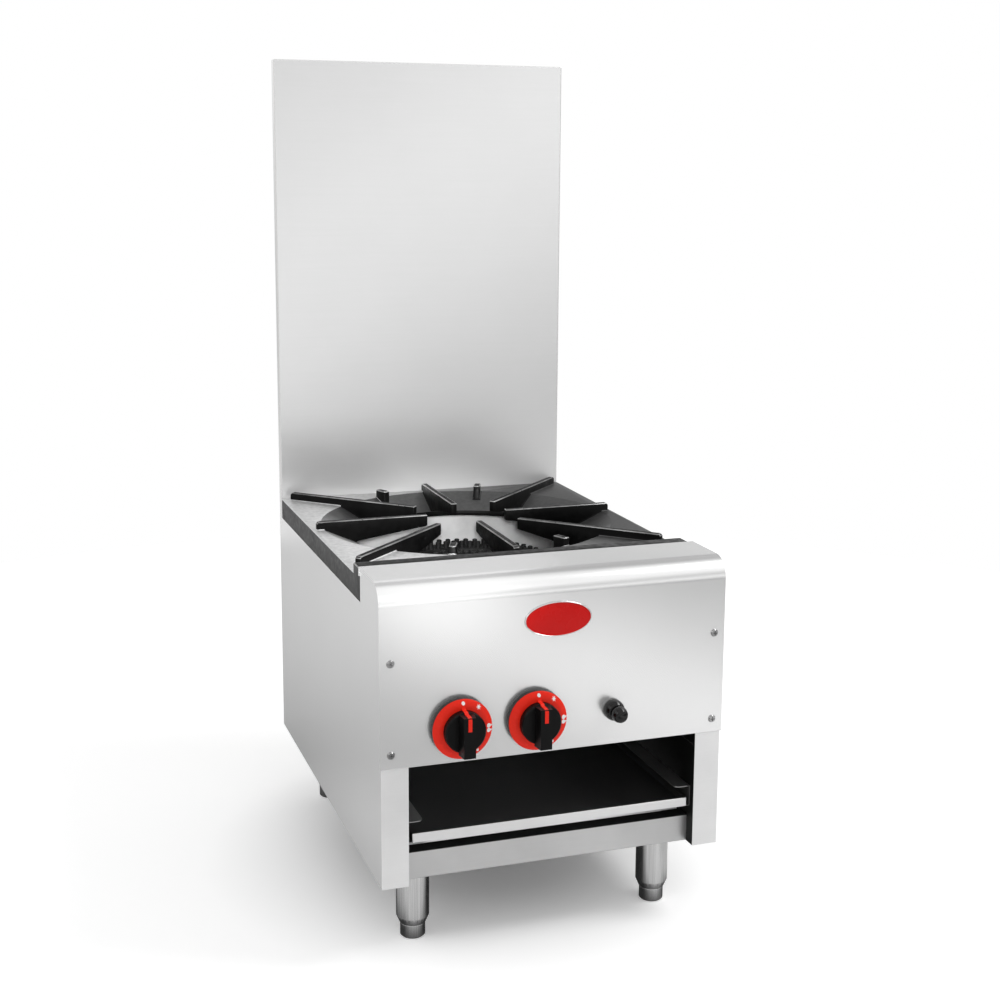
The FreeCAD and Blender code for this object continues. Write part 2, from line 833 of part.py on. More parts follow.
def burner(name, ring_radius, ring_width, valve_x, riser_y):
    """Ring, riser and mixing tube as one casting, hollow from the mouth to the ring."""
    ring = burner_ring(ring_radius, ring_width)
    place(ring, 0, centre_y, burner_base)
    mouth = front + dim.mixer_mouth_depth
    tube_length = riser_y + dim.mixer_radius - mouth
    bore = dim.mixer_radius - dim.mixer_wall
    tube = cylinder(dim.mixer_radius, tube_length, (valve_x, mouth, mixer_z), "+y")
    riser = cylinder(dim.riser_radius, burner_base + dim.ring_wall - mixer_z, (valve_x, riser_y, mixer_z))
    channel = cut(
        cylinder(ring_radius + ring_width / 2 - dim.ring_wall, dim.ring_height - 2 * dim.ring_wall,
                 (0, centre_y, burner_base + dim.ring_wall)),
        cylinder(ring_radius - ring_width / 2 + dim.ring_wall, dim.ring_height - 2 * dim.ring_wall,
                 (0, centre_y, burner_base + dim.ring_wall)))
    tube_bore = cylinder(bore, tube_length, (valve_x, mouth - dim.mixer_wall, mixer_z), "+y")
    riser_bore = cylinder(dim.riser_radius - dim.mixer_wall,
                          burner_base + 2 * dim.ring_wall - mixer_z,
                          (valve_x, riser_y, mixer_z))
    window_y = mouth + dim.shutter_length / 2
    window_half = dim.shutter_length / 4
    window = box((valve_x - 2 * dim.mixer_radius, valve_x + 2 * dim.mixer_radius),
                 (window_y - window_half, window_y + window_half), (mixer_z - bore / 2, mixer_z + bore / 2))
    casting = fuse(ring, tube, riser)
    keep(cut(casting, channel, tube_bore, riser_bore, window), name)


def burners():
    burner("outer_burner", dim.outer_ring_radius, dim.outer_ring_width, dim.left_valve_x, centre_y)
    chord = (dim.inner_ring_radius.value ** 2 - dim.right_valve_x.value ** 2) ** 0.5
    chord_text = f"sqrt({dim.inner_ring_radius.text}^2 - {dim.right_valve_x.text}^2)"
    burner("inner_burner", dim.inner_ring_radius, dim.inner_ring_width, dim.right_valve_x,
           centre_y - Size(chord, chord_text))


def burner_bars():
    for name, way in (("front", -1), ("rear", 1)):
        y = centre_y + way * dim.bar_offset
        keep(box((-inner_half, inner_half), (y - dim.bar_width / 2, y + dim.bar_width / 2),
                 (burner_base - dim.bar_height, burner_base)), f"{name}_burner_bar")


def air_shutters():
    for name, x in (("outer", dim.left_valve_x), ("inner", dim.right_valve_x)):
        bore = dim.mixer_radius + dim.shutter_clearance
        y = front + dim.mixer_mouth_depth
        sleeve = cylinder(bore + dim.shutter_wall, dim.shutter_length, (x, y, mixer_z), "+y")
        hollow = cylinder(bore, dim.shutter_length, (x, y, mixer_z), "+y")
        reach = 2 * dim.mixer_radius
        window_half = dim.shutter_length / 4
        middle = y + dim.shutter_length / 2
        half_bore = (dim.mixer_radius - dim.mixer_wall) / 2
        window = box((x - reach, x + reach), (middle - window_half, middle + window_half),
                     (mixer_z - half_bore, mixer_z + half_bore))
        keep(cut(sleeve, hollow, window), f"{name}_air_shutter")


# Gas train

def gas_pipes():
    r = dim.pipe_radius
    wall = dim.pipe_wall
    y = front + dim.manifold_depth
    x1 = inlet_x - dim.fitting_radius
    bar = cylinder(r, x1 - manifold_left, (manifold_left, y, control_z), "+x")
    bar_bore = cylinder(r - wall, x1 - manifold_left, (manifold_left + wall, y, control_z), "+x")
    keep(cut(bar, bar_bore), "gas_manifold")
    elbow_y = y + dim.fitting_radius
    reach = dim.fitting_radius
    elbow = box((x1, inlet_x + reach), (y - reach, elbow_y), (control_z - reach, control_z + reach))
    bore_x = cylinder(dim.elbow_bore, reach, (x1, y, control_z), "+x")
    bore_y = cylinder(r - wall, reach, (inlet_x, y, control_z), "+y")
    keep(cut(cut(elbow, bore_y), bore_x), "gas_elbow")
    length = back + dim.inlet_reach - elbow_y
    thread_start = back + dim.inlet_reach - dim.thread_length
    plain = cylinder(r, length - dim.thread_length, (inlet_x, elbow_y, control_z), "+y")
    thread = cylinder(dim.thread_radius, dim.thread_length, (inlet_x, thread_start, control_z), "+y")
    pipe = fuse(plain, thread)
    pipe_bore = cylinder(r - wall, length, (inlet_x, elbow_y, control_z), "+y")
    keep(cut(pipe, pipe_bore), "gas_inlet_pipe")
    nut_start = (inlet_x, back - dim.sheet, control_z)
    nut = cylinder(dim.locknut_radius, dim.locknut_thickness, nut_start, "+y")
    nut_bore = cylinder(r + dim.running_clearance, dim.locknut_thickness, nut_start, "+y")
    keep(cut(nut, nut_bore), "gas_inlet_locknut")


def manifold_brackets():
    y = front + dim.manifold_depth
    rear = front + dim.baffle_depth
    top = control_z - dim.pipe_radius
    t = dim.bracket_thickness
    brackets = []
    for x in (manifold_left + dim.bracket_width / 4, inlet_x - 4 * dim.bracket_width):
        xs = (x, x + dim.bracket_width)
        shelf = box(xs, (y - dim.pipe_radius, rear), (top - t, top))
        tab = box(xs, (rear - t, rear), (baffle_bottom, top))
        brackets.append(fuse(shelf, tab))
    keep(group(*brackets), "manifold_brackets")


def gas_valve(name, x):
    y0 = front + dim.valve_front_depth
    y1 = front + dim.valve_back_depth
    arm_y = front + dim.valve_outlet_depth
    body = cylinder(dim.valve_radius, y1 - y0, (x, y0, control_z), "+y")
    inlet = cylinder(dim.valve_arm_radius, front + dim.manifold_depth - y1, (x, y1, control_z), "+y")
    riser = cylinder(dim.valve_riser_radius, mixer_z - control_z, (x, arm_y, control_z))
    arm_start = arm_y - dim.valve_arm_radius
    arm_length = front + dim.jet_seat_depth - arm_start
    arm = cylinder(dim.valve_arm_radius, arm_length, (x, arm_start, mixer_z), "+y")
    stem_end = front + dim.stem_depth + dim.push_travel + dim.push_gap
    stem_bore = cylinder(dim.stem_radius + dim.running_clearance, stem_end - y0, (x, y0, control_z), "+y")
    plunger_bore = cylinder(dim.plunger_radius + dim.running_clearance,
                            dim.plunger_length + dim.push_travel + 2 * dim.push_gap,
                            (x, front + dim.stem_depth, control_z), "+y")
    manifold = cylinder(dim.pipe_radius, 4 * dim.valve_radius,
                        (x - 2 * dim.valve_radius, front + dim.manifold_depth, control_z), "+x")
    keep(cut(fuse(body, inlet, riser, arm), stem_bore, plunger_bore, manifold), f"{name}_gas_valve")
    plunger = cylinder(dim.plunger_radius, dim.plunger_length,
                       (x, front + dim.stem_depth + dim.push_gap, control_z), "+y")
    keep(plunger, f"{name}_valve_plunger")
    seat = front + dim.jet_seat_depth
    hexagon = cylinder(dim.jet_radius, dim.valve_arm_radius, (x, seat, mixer_z), "+y")
    tip = cylinder(dim.jet_tip_radius, front + dim.jet_reach - seat, (x, seat, mixer_z), "+y")
    orifice = cylinder(dim.jet_tip_radius / 3, front + dim.jet_reach - seat, (x, seat, mixer_z), "+y")
    keep(cut(fuse(hexagon, tip), orifice), f"{name}_gas_jet")


def baffle():
    y = front + dim.baffle_depth
    skin = box((-inner_half, inner_half), (y, y + dim.sheet), (baffle_bottom, ledge - dim.baffle_gap))
    tools = []
    for x in valve_places.values():
        tools.append(cylinder(dim.mixer_radius + dim.screw_clearance, drill,
                              (x, y - dim.sheet, mixer_z), "+y"))
    tools.append(cylinder(dim.pipe_radius + dim.screw_clearance, drill,
                          (inlet_x, y - dim.sheet, control_z), "+y"))
    lead_hole = dim.lead_radius + dim.screw_clearance
    tools.append(cylinder(lead_hole, drill, (dim.button_x, y - dim.sheet, lead_height()), "+y"))
    for name in valve_places:
        x, z = thermocouple_pass(name)
        tools.append(cylinder(lead_hole, drill, (x, y - dim.sheet, z), "+y"))
    keep(cut(skin, *tools), "heat_baffle")


# Knobs

def knob(name, x):
    """Fixed base ring, red dial skirt, black grip and the valve stem that carries them."""
    base_front = dim.dial_base_depth
    stem_bore = dim.stem_radius
    base = revolved([
        (dim.stem_hole, 0),
        (dim.dial_radius, 0),
        (dim.dial_radius, base_front - dim.dial_gap),
        (dim.stem_hole, base_front - dim.dial_gap),
    ])
    place(base, x, front, control_z, TOWARDS["-y"])
    keep(base, f"{name}_dial_base")
    skirt = revolved([
        (stem_bore, base_front),
        (dim.dial_radius, base_front),
        (dim.dial_radius, base_front + dim.knob_edge),
        (dim.dial_front_radius, base_front + dim.dial_depth),
        (stem_bore, base_front + dim.dial_depth),
    ])
    place(skirt, x, front, control_z, TOWARDS["-y"])
    keep(skirt, f"{name}_dial")
    low = base_front + dim.dial_depth
    high = low + dim.knob_depth
    cap = revolved([
        (0, low),
        (dim.knob_radius, low),
        (dim.knob_radius, high - dim.knob_edge),
        (dim.knob_radius - dim.knob_edge, high),
        (0, high),
    ])
    place(cap, x, front, control_z, TOWARDS["-y"])
    top = high + dim.grip_depth
    half = dim.grip_width / 2
    bar = padded([
        (-half, high - dim.knob_edge),
        (half, high - dim.knob_edge),
        (half - dim.knob_edge, top),
        (-half + dim.knob_edge, top),
    ], "XZ_Plane", dim.grip_above + dim.grip_below)
    place(bar, x, front, control_z - (dim.grip_below - dim.grip_above) / 2, TOWARDS["-y"])
    socket = cylinder(stem_bore, dim.knob_depth, (x, front - low, control_z), "-y")
    keep(cut(fuse(cap, bar), socket), f"{name}_knob_grip")
    stem = cylinder(dim.stem_radius, dim.stem_depth + low + dim.knob_depth,
                    (x, front + dim.stem_depth, control_z), "-y")
    keep(stem, f"{name}_valve_stem")


# Igniter, spark electrode and thermocouples

# share of the shorter run that a lead's bend takes up
RUN_SHARE = 0.45


def igniter():
    x = dim.button_x
    bore = dim.button_radius + dim.running_clearance
    tail = -dim.igniter_depth
    depth = -dim.igniter_depth / 2
    shell = revolved([
        (0, tail),
        (dim.igniter_radius, tail),
        (dim.igniter_radius, 0),
        (dim.collar_radius, 0),
        (dim.collar_front_radius, dim.collar_depth),
        (bore, dim.collar_depth),
        (bore, depth),
        (0, depth),
    ])
    place(shell, x, front, control_z, TOWARDS["-y"])
    keep(shell, "igniter_body")
    nut = cut(
        cylinder(dim.collar_radius, dim.locknut_thickness, (x, front + dim.sheet, control_z), "+y"),
        cylinder(dim.igniter_radius + dim.running_clearance, dim.locknut_thickness,
                 (x, front + dim.sheet, control_z), "+y"))
    keep(nut, "igniter_nut")
    head_back = dim.collar_depth + dim.button_travel + dim.push_gap
    head_front = head_back + dim.button_head_depth
    edge = dim.button_head_radius - dim.button_round
    button = revolved([
        (0, depth + dim.button_travel + dim.push_gap),
        (dim.button_radius, depth + dim.button_travel + dim.push_gap),
        (dim.button_radius, head_back),
        (dim.button_head_radius, head_back),
        (dim.button_head_radius, head_front - dim.button_round,
         (edge, head_front - dim.button_round, dim.button_round)),
        (edge, head_front),
        (0, head_front),
    ])
    place(button, x, front, control_z, TOWARDS["-y"])
    keep(button, "igniter_button")


def bent_rod(label, points, radius):
    """A round rod along straight runs joined by tangent arcs as wide as the runs allow."""
    edges = []
    bends = []
    here = points[0]
    for before, corner, after in zip(points, points[1:], points[2:]):
        before_way = (corner - before).normalize()
        after_way = (after - corner).normalize()
        half_turn = before_way.getAngle(after_way) / 2
        setback = RUN_SHARE * min((corner - before).Length, (after - corner).Length)
        bend = setback / math.tan(half_turn)
        begin = corner - before_way * setback
        end = corner + after_way * setback
        inward = (after_way - before_way).normalize()
        middle = corner + inward * (bend / math.cos(half_turn) - bend)
        edges.append(Part.LineSegment(here, begin).toShape())
        edges.append(Part.Arc(begin, middle, end).toShape())
        bends.append(round(bend, 1))
        here = end
    edges.append(Part.LineSegment(here, points[-1]).toShape())
    path = Part.Wire(edges)
    section = Part.Wire(Part.Circle(points[0], points[1] - points[0], radius).toShape())
    rod = doc.addObject("Part::Feature", "rod")
    rod.Shape = path.makePipeShell([section], True, False)
    share = rod.Shape.Volume / (math.pi * radius ** 2 * path.Length)
    print(label, "length", round(path.Length, 1), "bend radii", bends, "volume ratio", round(share, 4))
    keep(rod, label)


def spark_electrode():
    x = dim.button_x
    bar_y = centre_y - dim.bar_offset - dim.bar_width / 2
    y = bar_y - dim.electrode_reach
    bead_bottom = burner_base - dim.electrode_below
    bead_top = burner_base + dim.electrode_above
    bead = cylinder(dim.electrode_radius, bead_top - bead_bottom, (x, y, bead_bottom))
    tip = cylinder(dim.lead_radius, dim.electrode_tip, (x, y, bead_top))
    keep(fuse(bead, tip), "spark_electrode")
    t = dim.bracket_thickness
    ring = dim.electrode_radius + dim.bracket_thickness
    z = burner_base - dim.bar_height
    arm = box((x - ring, x + ring), (y - ring, bar_y + dim.bar_width), (z - t, z))
    hole = cylinder(dim.electrode_radius, 3 * t, (x, y, z - 2 * t))
    keep(cut(arm, hole), "electrode_bracket")
    lead_y = front + dim.igniter_depth - 2 * dim.lead_radius
    lead_z = lead_height()
    points = [
        Vector(x.value, lead_y.value, (control_z - dim.igniter_radius).value),
        Vector(x.value, lead_y.value, lead_z.value),
        Vector(x.value, y.value, lead_z.value),
        Vector(x.value, y.value, bead_bottom.value),
    ]
    bent_rod("ignition_lead", points, dim.lead_radius.value)


def thermocouple_place(name):
    return dim.thermocouple_x + (dim.thermocouple_pitch if name == "right" else -dim.thermocouple_pitch)


def thermocouple_pass(name):
    """Where a thermocouple lead goes through the baffle: beside its valve, under the manifold."""
    return valve_places[name] + 2 * dim.valve_radius, lead_height()


def lead_height():
    """Height at which the leads cross under the manifold."""
    return control_z - 2 * dim.pipe_radius


def thermocouples():
    """Two probes on one stainless tab, each with its copper lead back to its valve."""
    t = dim.bracket_thickness
    bar_y = centre_y + dim.bar_offset
    y = bar_y + dim.bar_width / 2 + dim.thermocouple_reach
    half = 2 * dim.thermocouple_pitch
    x = dim.thermocouple_x
    under_bar = burner_base - dim.bar_height
    top = burner_base + dim.ring_height
    foot = box((x - half, x + half), (bar_y - dim.bar_width / 2, y + t), (under_bar - t, under_bar))
    tab = box((x - t, x + t), (y, y + t), (under_bar - t, top))
    probe_r = dim.lead_radius
    holes = []
    probe_y = y - dim.thermocouple_pitch / 3
    for name in valve_places:
        holes.append(cylinder(probe_r, 3 * t, (thermocouple_place(name), probe_y, under_bar - 2 * t)))
    keep(cut(fuse(foot, tab), *holes), "thermocouple_bracket")
    for name, valve_x in valve_places.items():
        pass_x, pass_z = thermocouple_pass(name)
        probe_x = thermocouple_place(name)
        low = mixer_z - 2 * dim.mixer_radius
        turn_y = front + dim.baffle_depth + dim.fold_width * 2
        valve_y = front + dim.valve_back_depth - dim.valve_arm_radius
        points = [
            Vector((valve_x + dim.valve_radius).value, valve_y.value, control_z.value),
            Vector(pass_x.value, valve_y.value, control_z.value),
            Vector(pass_x.value, (valve_y + dim.fold_width).value, pass_z.value),
            Vector(pass_x.value, turn_y.value, pass_z.value),
            Vector(probe_x.value, (turn_y + 4 * dim.fold_width).value, low.value),
            Vector(probe_x.value, probe_y.value, low.value),
            Vector(probe_x.value, probe_y.value, top.value),
        ]
        side = "outer" if name == "left" else "inner"
        bent_rod(f"{side}_thermocouple", points, probe_r.value)


# Build every piece

for side_name, side_sign in sides.items():
    side_panel(f"{side_name}_side_panel", side_sign)
    tray_runner(f"{side_name}_tray_runner", side_sign)
control_panel()
badge_plate()
back_panel()
splashback()
splashback_straps()
panel_screws()
lower_rails()
drip_tray()
legs()
top_grate()
burners()
burner_bars()
air_shutters()
gas_pipes()
manifold_brackets()
for valve_name, valve_x in valve_places.items():
    gas_valve(valve_name, valve_x)
    knob(valve_name, valve_x)
baffle()
igniter()
spark_electrode()
thermocouples()
doc.recompute()

# Check every object, then write one file for each piece

for item in doc.Objects:
    if "Invalid" in item.State or "Error" in item.State:
        raise RuntimeError(f"{item.Label} failed: {item.State}")
for item in SUBPARTS:
    if item.Shape.isNull() or not item.Shape.isValid():
        raise RuntimeError(f"{item.Label} has no valid shape")

os.makedirs("parts", exist_ok=True)
for item in SUBPARTS:
    item.Shape.exportStep(f"parts/{item.Label}.step")
    print(f"{item.Label}: {len(item.Shape.Solids)} solid(s), {item.Shape.Volume / 1000:.1f} cm3")
print(len(SUBPARTS), "nodes")
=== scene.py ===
# %% [markdown]
# A free-standing gas stove with one double-ring burner, dressed around its construction model.
# The construction model gives every piece at its real size and place, in metres. This lesson gives the
# pieces their finish, and models again those whose small forms show: the knobs, the igniter, the badge,
# the screws, the cast grate and the folded sheets.

# %% Load the construction model
import json
import math

import bmesh
import bpy
from mathutils import Matrix, Vector


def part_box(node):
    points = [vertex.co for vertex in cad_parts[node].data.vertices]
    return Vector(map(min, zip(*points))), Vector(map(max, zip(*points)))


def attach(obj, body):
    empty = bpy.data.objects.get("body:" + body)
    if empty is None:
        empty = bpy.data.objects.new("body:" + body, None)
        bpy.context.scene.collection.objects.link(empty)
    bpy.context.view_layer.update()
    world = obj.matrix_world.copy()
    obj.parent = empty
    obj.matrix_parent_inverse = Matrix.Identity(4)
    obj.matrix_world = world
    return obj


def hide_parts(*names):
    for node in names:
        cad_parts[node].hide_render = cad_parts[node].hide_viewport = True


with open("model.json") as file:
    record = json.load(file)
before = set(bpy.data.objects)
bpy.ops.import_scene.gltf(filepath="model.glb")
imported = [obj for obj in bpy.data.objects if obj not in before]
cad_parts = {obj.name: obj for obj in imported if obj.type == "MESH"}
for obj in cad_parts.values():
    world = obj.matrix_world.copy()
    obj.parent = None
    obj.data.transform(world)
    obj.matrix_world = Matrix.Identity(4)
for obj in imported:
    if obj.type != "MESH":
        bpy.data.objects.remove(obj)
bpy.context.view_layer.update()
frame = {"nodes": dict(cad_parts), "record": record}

nodes = frame["nodes"]
record = frame["record"]
body_of = {name: body for body, names in record["behaviour"]["bodies"].items() for name in names}
slot_of = {part["node"]: part["material_slot"] for part in record["subparts"]}
MM = 0.001
SIDES = ("left", "right")

# %% [markdown]
# The places that several pieces share are read from the boxes of the nodes, so that the looks follow the
# construction. The front sheet's outer face, the knob axes and the burner's centre are the main ones.

# %% Shared places
BURNER_REACH = 137.0 * MM
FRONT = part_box("front_control_panel")[0].y
dial_boxes = {side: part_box(f"{side}_dial") for side in SIDES}
knob_centres = {side: (low + high) / 2 for side, (low, high) in dial_boxes.items()}
ring_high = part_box("outer_burner")[1]
burner_centre = Vector((0.0, ring_high.y - BURNER_REACH, ring_high.z))
print("front face at y", round(FRONT, 4), "knobs at x", [round(c.x, 4) for c in knob_centres.values()])

# %% [markdown]
# Finishes, repeated pieces and the studio are all trees of nodes. One helper adds a node with its
# settings, plain values and links, one does sums, and one turns a range of a value into another range.


# %% Node helpers
def feed(tree, node, **links):
    """Link outputs of other nodes to a node's sockets, by socket name."""
    for socket, source in links.items():
        tree.links.new(source, node.inputs[socket.replace("_", " ")])


def tree_node(tree, kind, values=None, settings=None, **links):
    """A node with settings by attribute, plain values by socket and links by socket name."""
    node = tree.nodes.new(kind)
    for name, value in (settings or {}).items():
        setattr(node, name, value)
    for socket, value in (values or {}).items():
        node.inputs[socket].default_value = value
    feed(tree, node, **links)
    return node


def arithmetic(tree, operation, *terms):
    """The result of a Math node whose terms are numbers or outputs of other nodes."""
    node = tree_node(tree, "ShaderNodeMath", settings={"operation": operation})
    for socket, term in zip(node.inputs, terms):
        if isinstance(term, (int, float)):
            socket.default_value = term
        else:
            tree.links.new(term, socket)
    return node.outputs["Value"]


def ranged(tree, value, start, end, low=0.0, high=1.0, fade="LINEAR"):
    """The value's range from start to end, spread from low to high."""
    limits = {"From Min": start, "From Max": end, "To Min": low, "To Max": high}
    node = tree_node(tree, "ShaderNodeMapRange", limits, {"interpolation_type": fade}, Value=value)
    return node.outputs["Result"]


# %% [markdown]
# Every finish is a Principled shader with a few textures on Object coordinates, so that the pattern stays
# on the piece when it moves. The helpers below keep each finish short: a stretched noise, a colour ramp,
# a product of two colours and a bump.


# %% Finish helpers
NOISE_LOW = 0.3
NOISE_HIGH = 0.7


def new_finish(name, **sockets):
    """A material with one Principled shader whose plain sockets are set here."""
    material = bpy.data.materials.new(name)
    material.use_nodes = True
    shader = material.node_tree.nodes["Principled BSDF"]
    for socket, value in sockets.items():
        shader.inputs[socket.replace("_", " ")].default_value = value
    return material, material.node_tree, shader


def object_axes(tree):
    place = tree_node(tree, "ShaderNodeTexCoord").outputs["Object"]
    return tree_node(tree, "ShaderNodeSeparateXYZ", Vector=place).outputs


def grain(tree, scale, detail, stretch=(1.0, 1.0, 1.0)):
    """Noise on Object coordinates; a large stretch along an axis packs the grain along it."""
    place = tree_node(tree, "ShaderNodeTexCoord").outputs["Object"]
    mapping = tree_node(tree, "ShaderNodeMapping", {"Scale": stretch}, Vector=place)
    texture = tree_node(tree, "ShaderNodeTexNoise", {"Scale": scale, "Detail": detail},
                        Vector=mapping.outputs["Vector"])
    return texture.outputs["Fac"]


def ramp(tree, factor, *stops):
    """Colour ramp from (position, colour) stops; a colour is one grey level or (r, g, b)."""
    node = tree_node(tree, "ShaderNodeValToRGB", Fac=factor)
    band = node.color_ramp
    while len(band.elements) < len(stops):
        band.elements.new(0.5)
    for element, (position, colour) in zip(band.elements, stops):
        element.position = position
        element.color = (*(colour if isinstance(colour, tuple) else (colour,) * 3), 1.0)
    return node.outputs["Color"]


def noise_ramp(tree, noise, dark, light):
    return ramp(tree, noise, (NOISE_LOW, dark), (NOISE_HIGH, light))


def spread(tree, noise, low, high):
    """The noise's middle range, spread from low to high."""
    return ranged(tree, noise, NOISE_LOW, NOISE_HIGH, low, high)


def multiplied(tree, first, second, amount=1.0):
    mix = tree_node(tree, "ShaderNodeMix", {"Factor": amount},
                    {"data_type": "RGBA", "blend_type": "MULTIPLY"}, A=first, B=second)
    return mix.outputs["Result"]


def raise_surface(tree, shader, height, strength, distance):
    bump = tree_node(tree, "ShaderNodeBump", {"Strength": strength, "Distance": distance}, Height=height)
    feed(tree, shader, Normal=bump.outputs["Normal"])


# %% [markdown]
# The cabinet is stainless sheet. Polished sheet carries a fine horizontal grain, and handling leaves soft
# cloudy patches. Grain packed along Z gives lines that run round the cabinet, and a slow noise gives the
# clouds. The frame pieces are mill finish: rougher, greyer and more mottled. The splash sheet is dulled
# near its foot by heat and grease. The inside of the cabinet, the tray's floor, the top of the rail under
# the tray and the runners are painted dark as painted shade in the tray bay.


# %% Stainless finishes
ROUND_CABINET = (1.0, 1.0, 160.0)
UP_THE_LEG = (160.0, 160.0, 1.0)
SHEET_GRAIN = 9.0
CLOUD_TOP = 0.65
DULL_FOOT = (0.40, 0.70)
DULL_METAL = 0.22
PAINTED_SHADE_EDGE = (0.27, 0.37)


def stainless(name, level, roughness, clouds, metallic=1.0, pack=ROUND_CABINET, streaks=0.025,
              dull_foot=False):
    material, tree, shader = new_finish(name, Metallic=metallic)
    fine = grain(tree, SHEET_GRAIN, detail=3.0, stretch=pack)
    slow = grain(tree, SHEET_GRAIN, detail=5.0)
    lines = noise_ramp(tree, fine, level * (1.0 - streaks), level)
    patches = ramp(tree, slow, (NOISE_LOW, 1.0 - clouds), (CLOUD_TOP, 1.0))
    feed(tree, shader, Base_Color=multiplied(tree, lines, patches),
         Roughness=spread(tree, slow, roughness, roughness * (1.0 + clouds)))
    raise_surface(tree, shader, fine, strength=0.04, distance=0.02 * MM)
    if dull_foot:
        height = object_axes(tree)["Z"]
        feed(tree, shader, Metallic=ranged(tree, height, *DULL_FOOT, DULL_METAL, metallic, "SMOOTHERSTEP"))
    return material


def inner_sheet():
    """Sheet inside the cabinet: bright near the burner, painted black below it as painted shade in the tray
    bay.
    """
    material, tree, shader = new_finish("inner_sheet_painted_shade", Roughness=0.5, Specular_IOR_Level=0.15)
    # painted shade: the sheet's colour goes nearly black below this height, in the tray bay
    height = ranged(tree, object_axes(tree)["Z"], *PAINTED_SHADE_EDGE)
    painted_shade = ramp(tree, height, (0.0, 0.006), (1.0, 0.92))
    patches = ramp(tree, grain(tree, 24.0, detail=5.0), (NOISE_LOW, 0.75), (CLOUD_TOP, 1.0))
    feed(tree, shader, Base_Color=multiplied(tree, painted_shade, patches))
    return material


panel_steel = stainless("satin_panel_sheet", level=0.88, roughness=0.24, clouds=0.02, metallic=0.74)
splash_steel = stainless("heat_dulled_splash_sheet", level=0.88, roughness=0.24, clouds=0.02, metallic=0.69,
                         dull_foot=True)
frame_steel = stainless("mill_frame_sheet", level=0.64, roughness=0.34, clouds=0.14, metallic=0.85)
flange_steel = stainless("mottled_flange_sheet", level=0.95, roughness=0.36, clouds=0.10, metallic=0.30)
tray_steel = stainless("mill_tray_sheet", level=0.86, roughness=0.32, clouds=0.10, metallic=0.9)
leg_steel = stainless("brushed_leg_tube", level=0.78, roughness=0.20, clouds=0.10, pack=UP_THE_LEG,
                      streaks=0.35)
bright_steel = stainless("plated_fastener", level=0.74, roughness=0.18, clouds=0.08)
screw_steel = stainless("zinc_screw_head", level=0.38, roughness=0.20, clouds=0.10)
# painted shade: the runners are painted dark grey for the shadow they lie in, inside the tray bay
runner_painted_shade = stainless("runner_sheet_painted_shade", level=0.36, roughness=0.34, clouds=0.14, metallic=0.85)
# painted shade: a nearly black sheet for places in shadow, the tray's floor and the rail's top under it
painted_shade_sheet = stainless("painted_shade_dark_sheet", level=0.09, roughness=0.42, clouds=0.30, metallic=0.6)
inside_steel = inner_sheet()
print("stainless finishes made")

# %% [markdown]
# The grate is a sand casting with a black coat. Its grain is coarse, and the coat is semi-gloss. The flat
# plate and the dish in it carry a painted sheen, bright at the left and front and dark at the right and
# back, along a line across the casting shaken by a noise. The burners are raw castings, drier and darker.


# %% Cast iron finishes
SHEEN_SHAKE = 0.12
COAT_FROM = 0.32


def cast_iron(name, dark, light, roughness, worn_from, metallic=0.0, gloss=0.5):
    material, tree, shader = new_finish(name, Metallic=metallic, Specular_IOR_Level=gloss)
    coarse = grain(tree, 130.0, detail=8.0)
    slow = grain(tree, 22.0, detail=5.0)
    iron_tone = ramp(tree, slow, (COAT_FROM, dark), (worn_from, light))
    grit = noise_ramp(tree, coarse, 0.7, 1.0)
    feed(tree, shader, Base_Color=multiplied(tree, iron_tone, grit),
         Roughness=spread(tree, coarse, roughness * 0.8, roughness * 1.25))
    raise_surface(tree, shader, coarse, strength=0.35, distance=0.6 * MM)
    return material


def iron_with_painted_sheen(name, lean, sheen_full_at, sheen_gone_at):
    """Iron with a painted sheen: bright at its left and front, dark and mottled at its right and back.

    The painted sheen fades along x plus lean times y, from full to none.
    """
    material, tree, shader = new_finish(name, Metallic=0.65)
    axes = object_axes(tree)
    coarse = grain(tree, 150.0, detail=8.0)
    across = arithmetic(tree, "MULTIPLY_ADD", axes["Y"], lean, axes["X"])
    shaken = arithmetic(tree, "MULTIPLY_ADD", grain(tree, 20.0, detail=6.0), SHEEN_SHAKE, across)
    # painted sheen: bright towards the left and front, dark towards the right and back
    sheen_fade = ranged(tree, shaken, sheen_full_at, sheen_gone_at)
    iron_tone = ramp(tree, sheen_fade, (0.0, 0.95), (0.40, 0.52), (1.0, 0.10))
    grit = noise_ramp(tree, coarse, 0.72, 1.0)
    feed(tree, shader, Base_Color=multiplied(tree, iron_tone, grit, 0.8),
         Roughness=ramp(tree, sheen_fade, (0.0, 0.42), (1.0, 0.50)))
    raise_surface(tree, shader, coarse, strength=0.25, distance=0.4 * MM)
    return material


grate_coat = cast_iron("black_grate_coat", 0.003, 0.008, roughness=0.42, worn_from=0.75, gloss=0.11)
# painted sheen on the plate and the dish, where they shine in the light
grate_plate = iron_with_painted_sheen("grate_plate_painted_sheen", lean=0.15, sheen_full_at=-0.12, sheen_gone_at=0.22)
grate_dish = iron_with_painted_sheen("grate_dish_painted_sheen", lean=2.0, sheen_full_at=-0.15, sheen_gone_at=0.25)
# wear and painted highlight: a brighter iron only on the upper rounded edges, where light from above catches
# them
grate_edge_wear_and_highlight = cast_iron("grate_edge_wear_and_painted_highlight", 0.16, 0.50, roughness=0.32, worn_from=0.66, metallic=0.8)
grate_skirt = cast_iron("dull_grate_skirt", 0.055, 0.085, roughness=0.6, worn_from=0.70, gloss=0.3)
burner_iron = cast_iron("raw_burner_casting", 0.008, 0.022, roughness=0.5, worn_from=0.70, gloss=0.3)
print("cast iron finishes made")

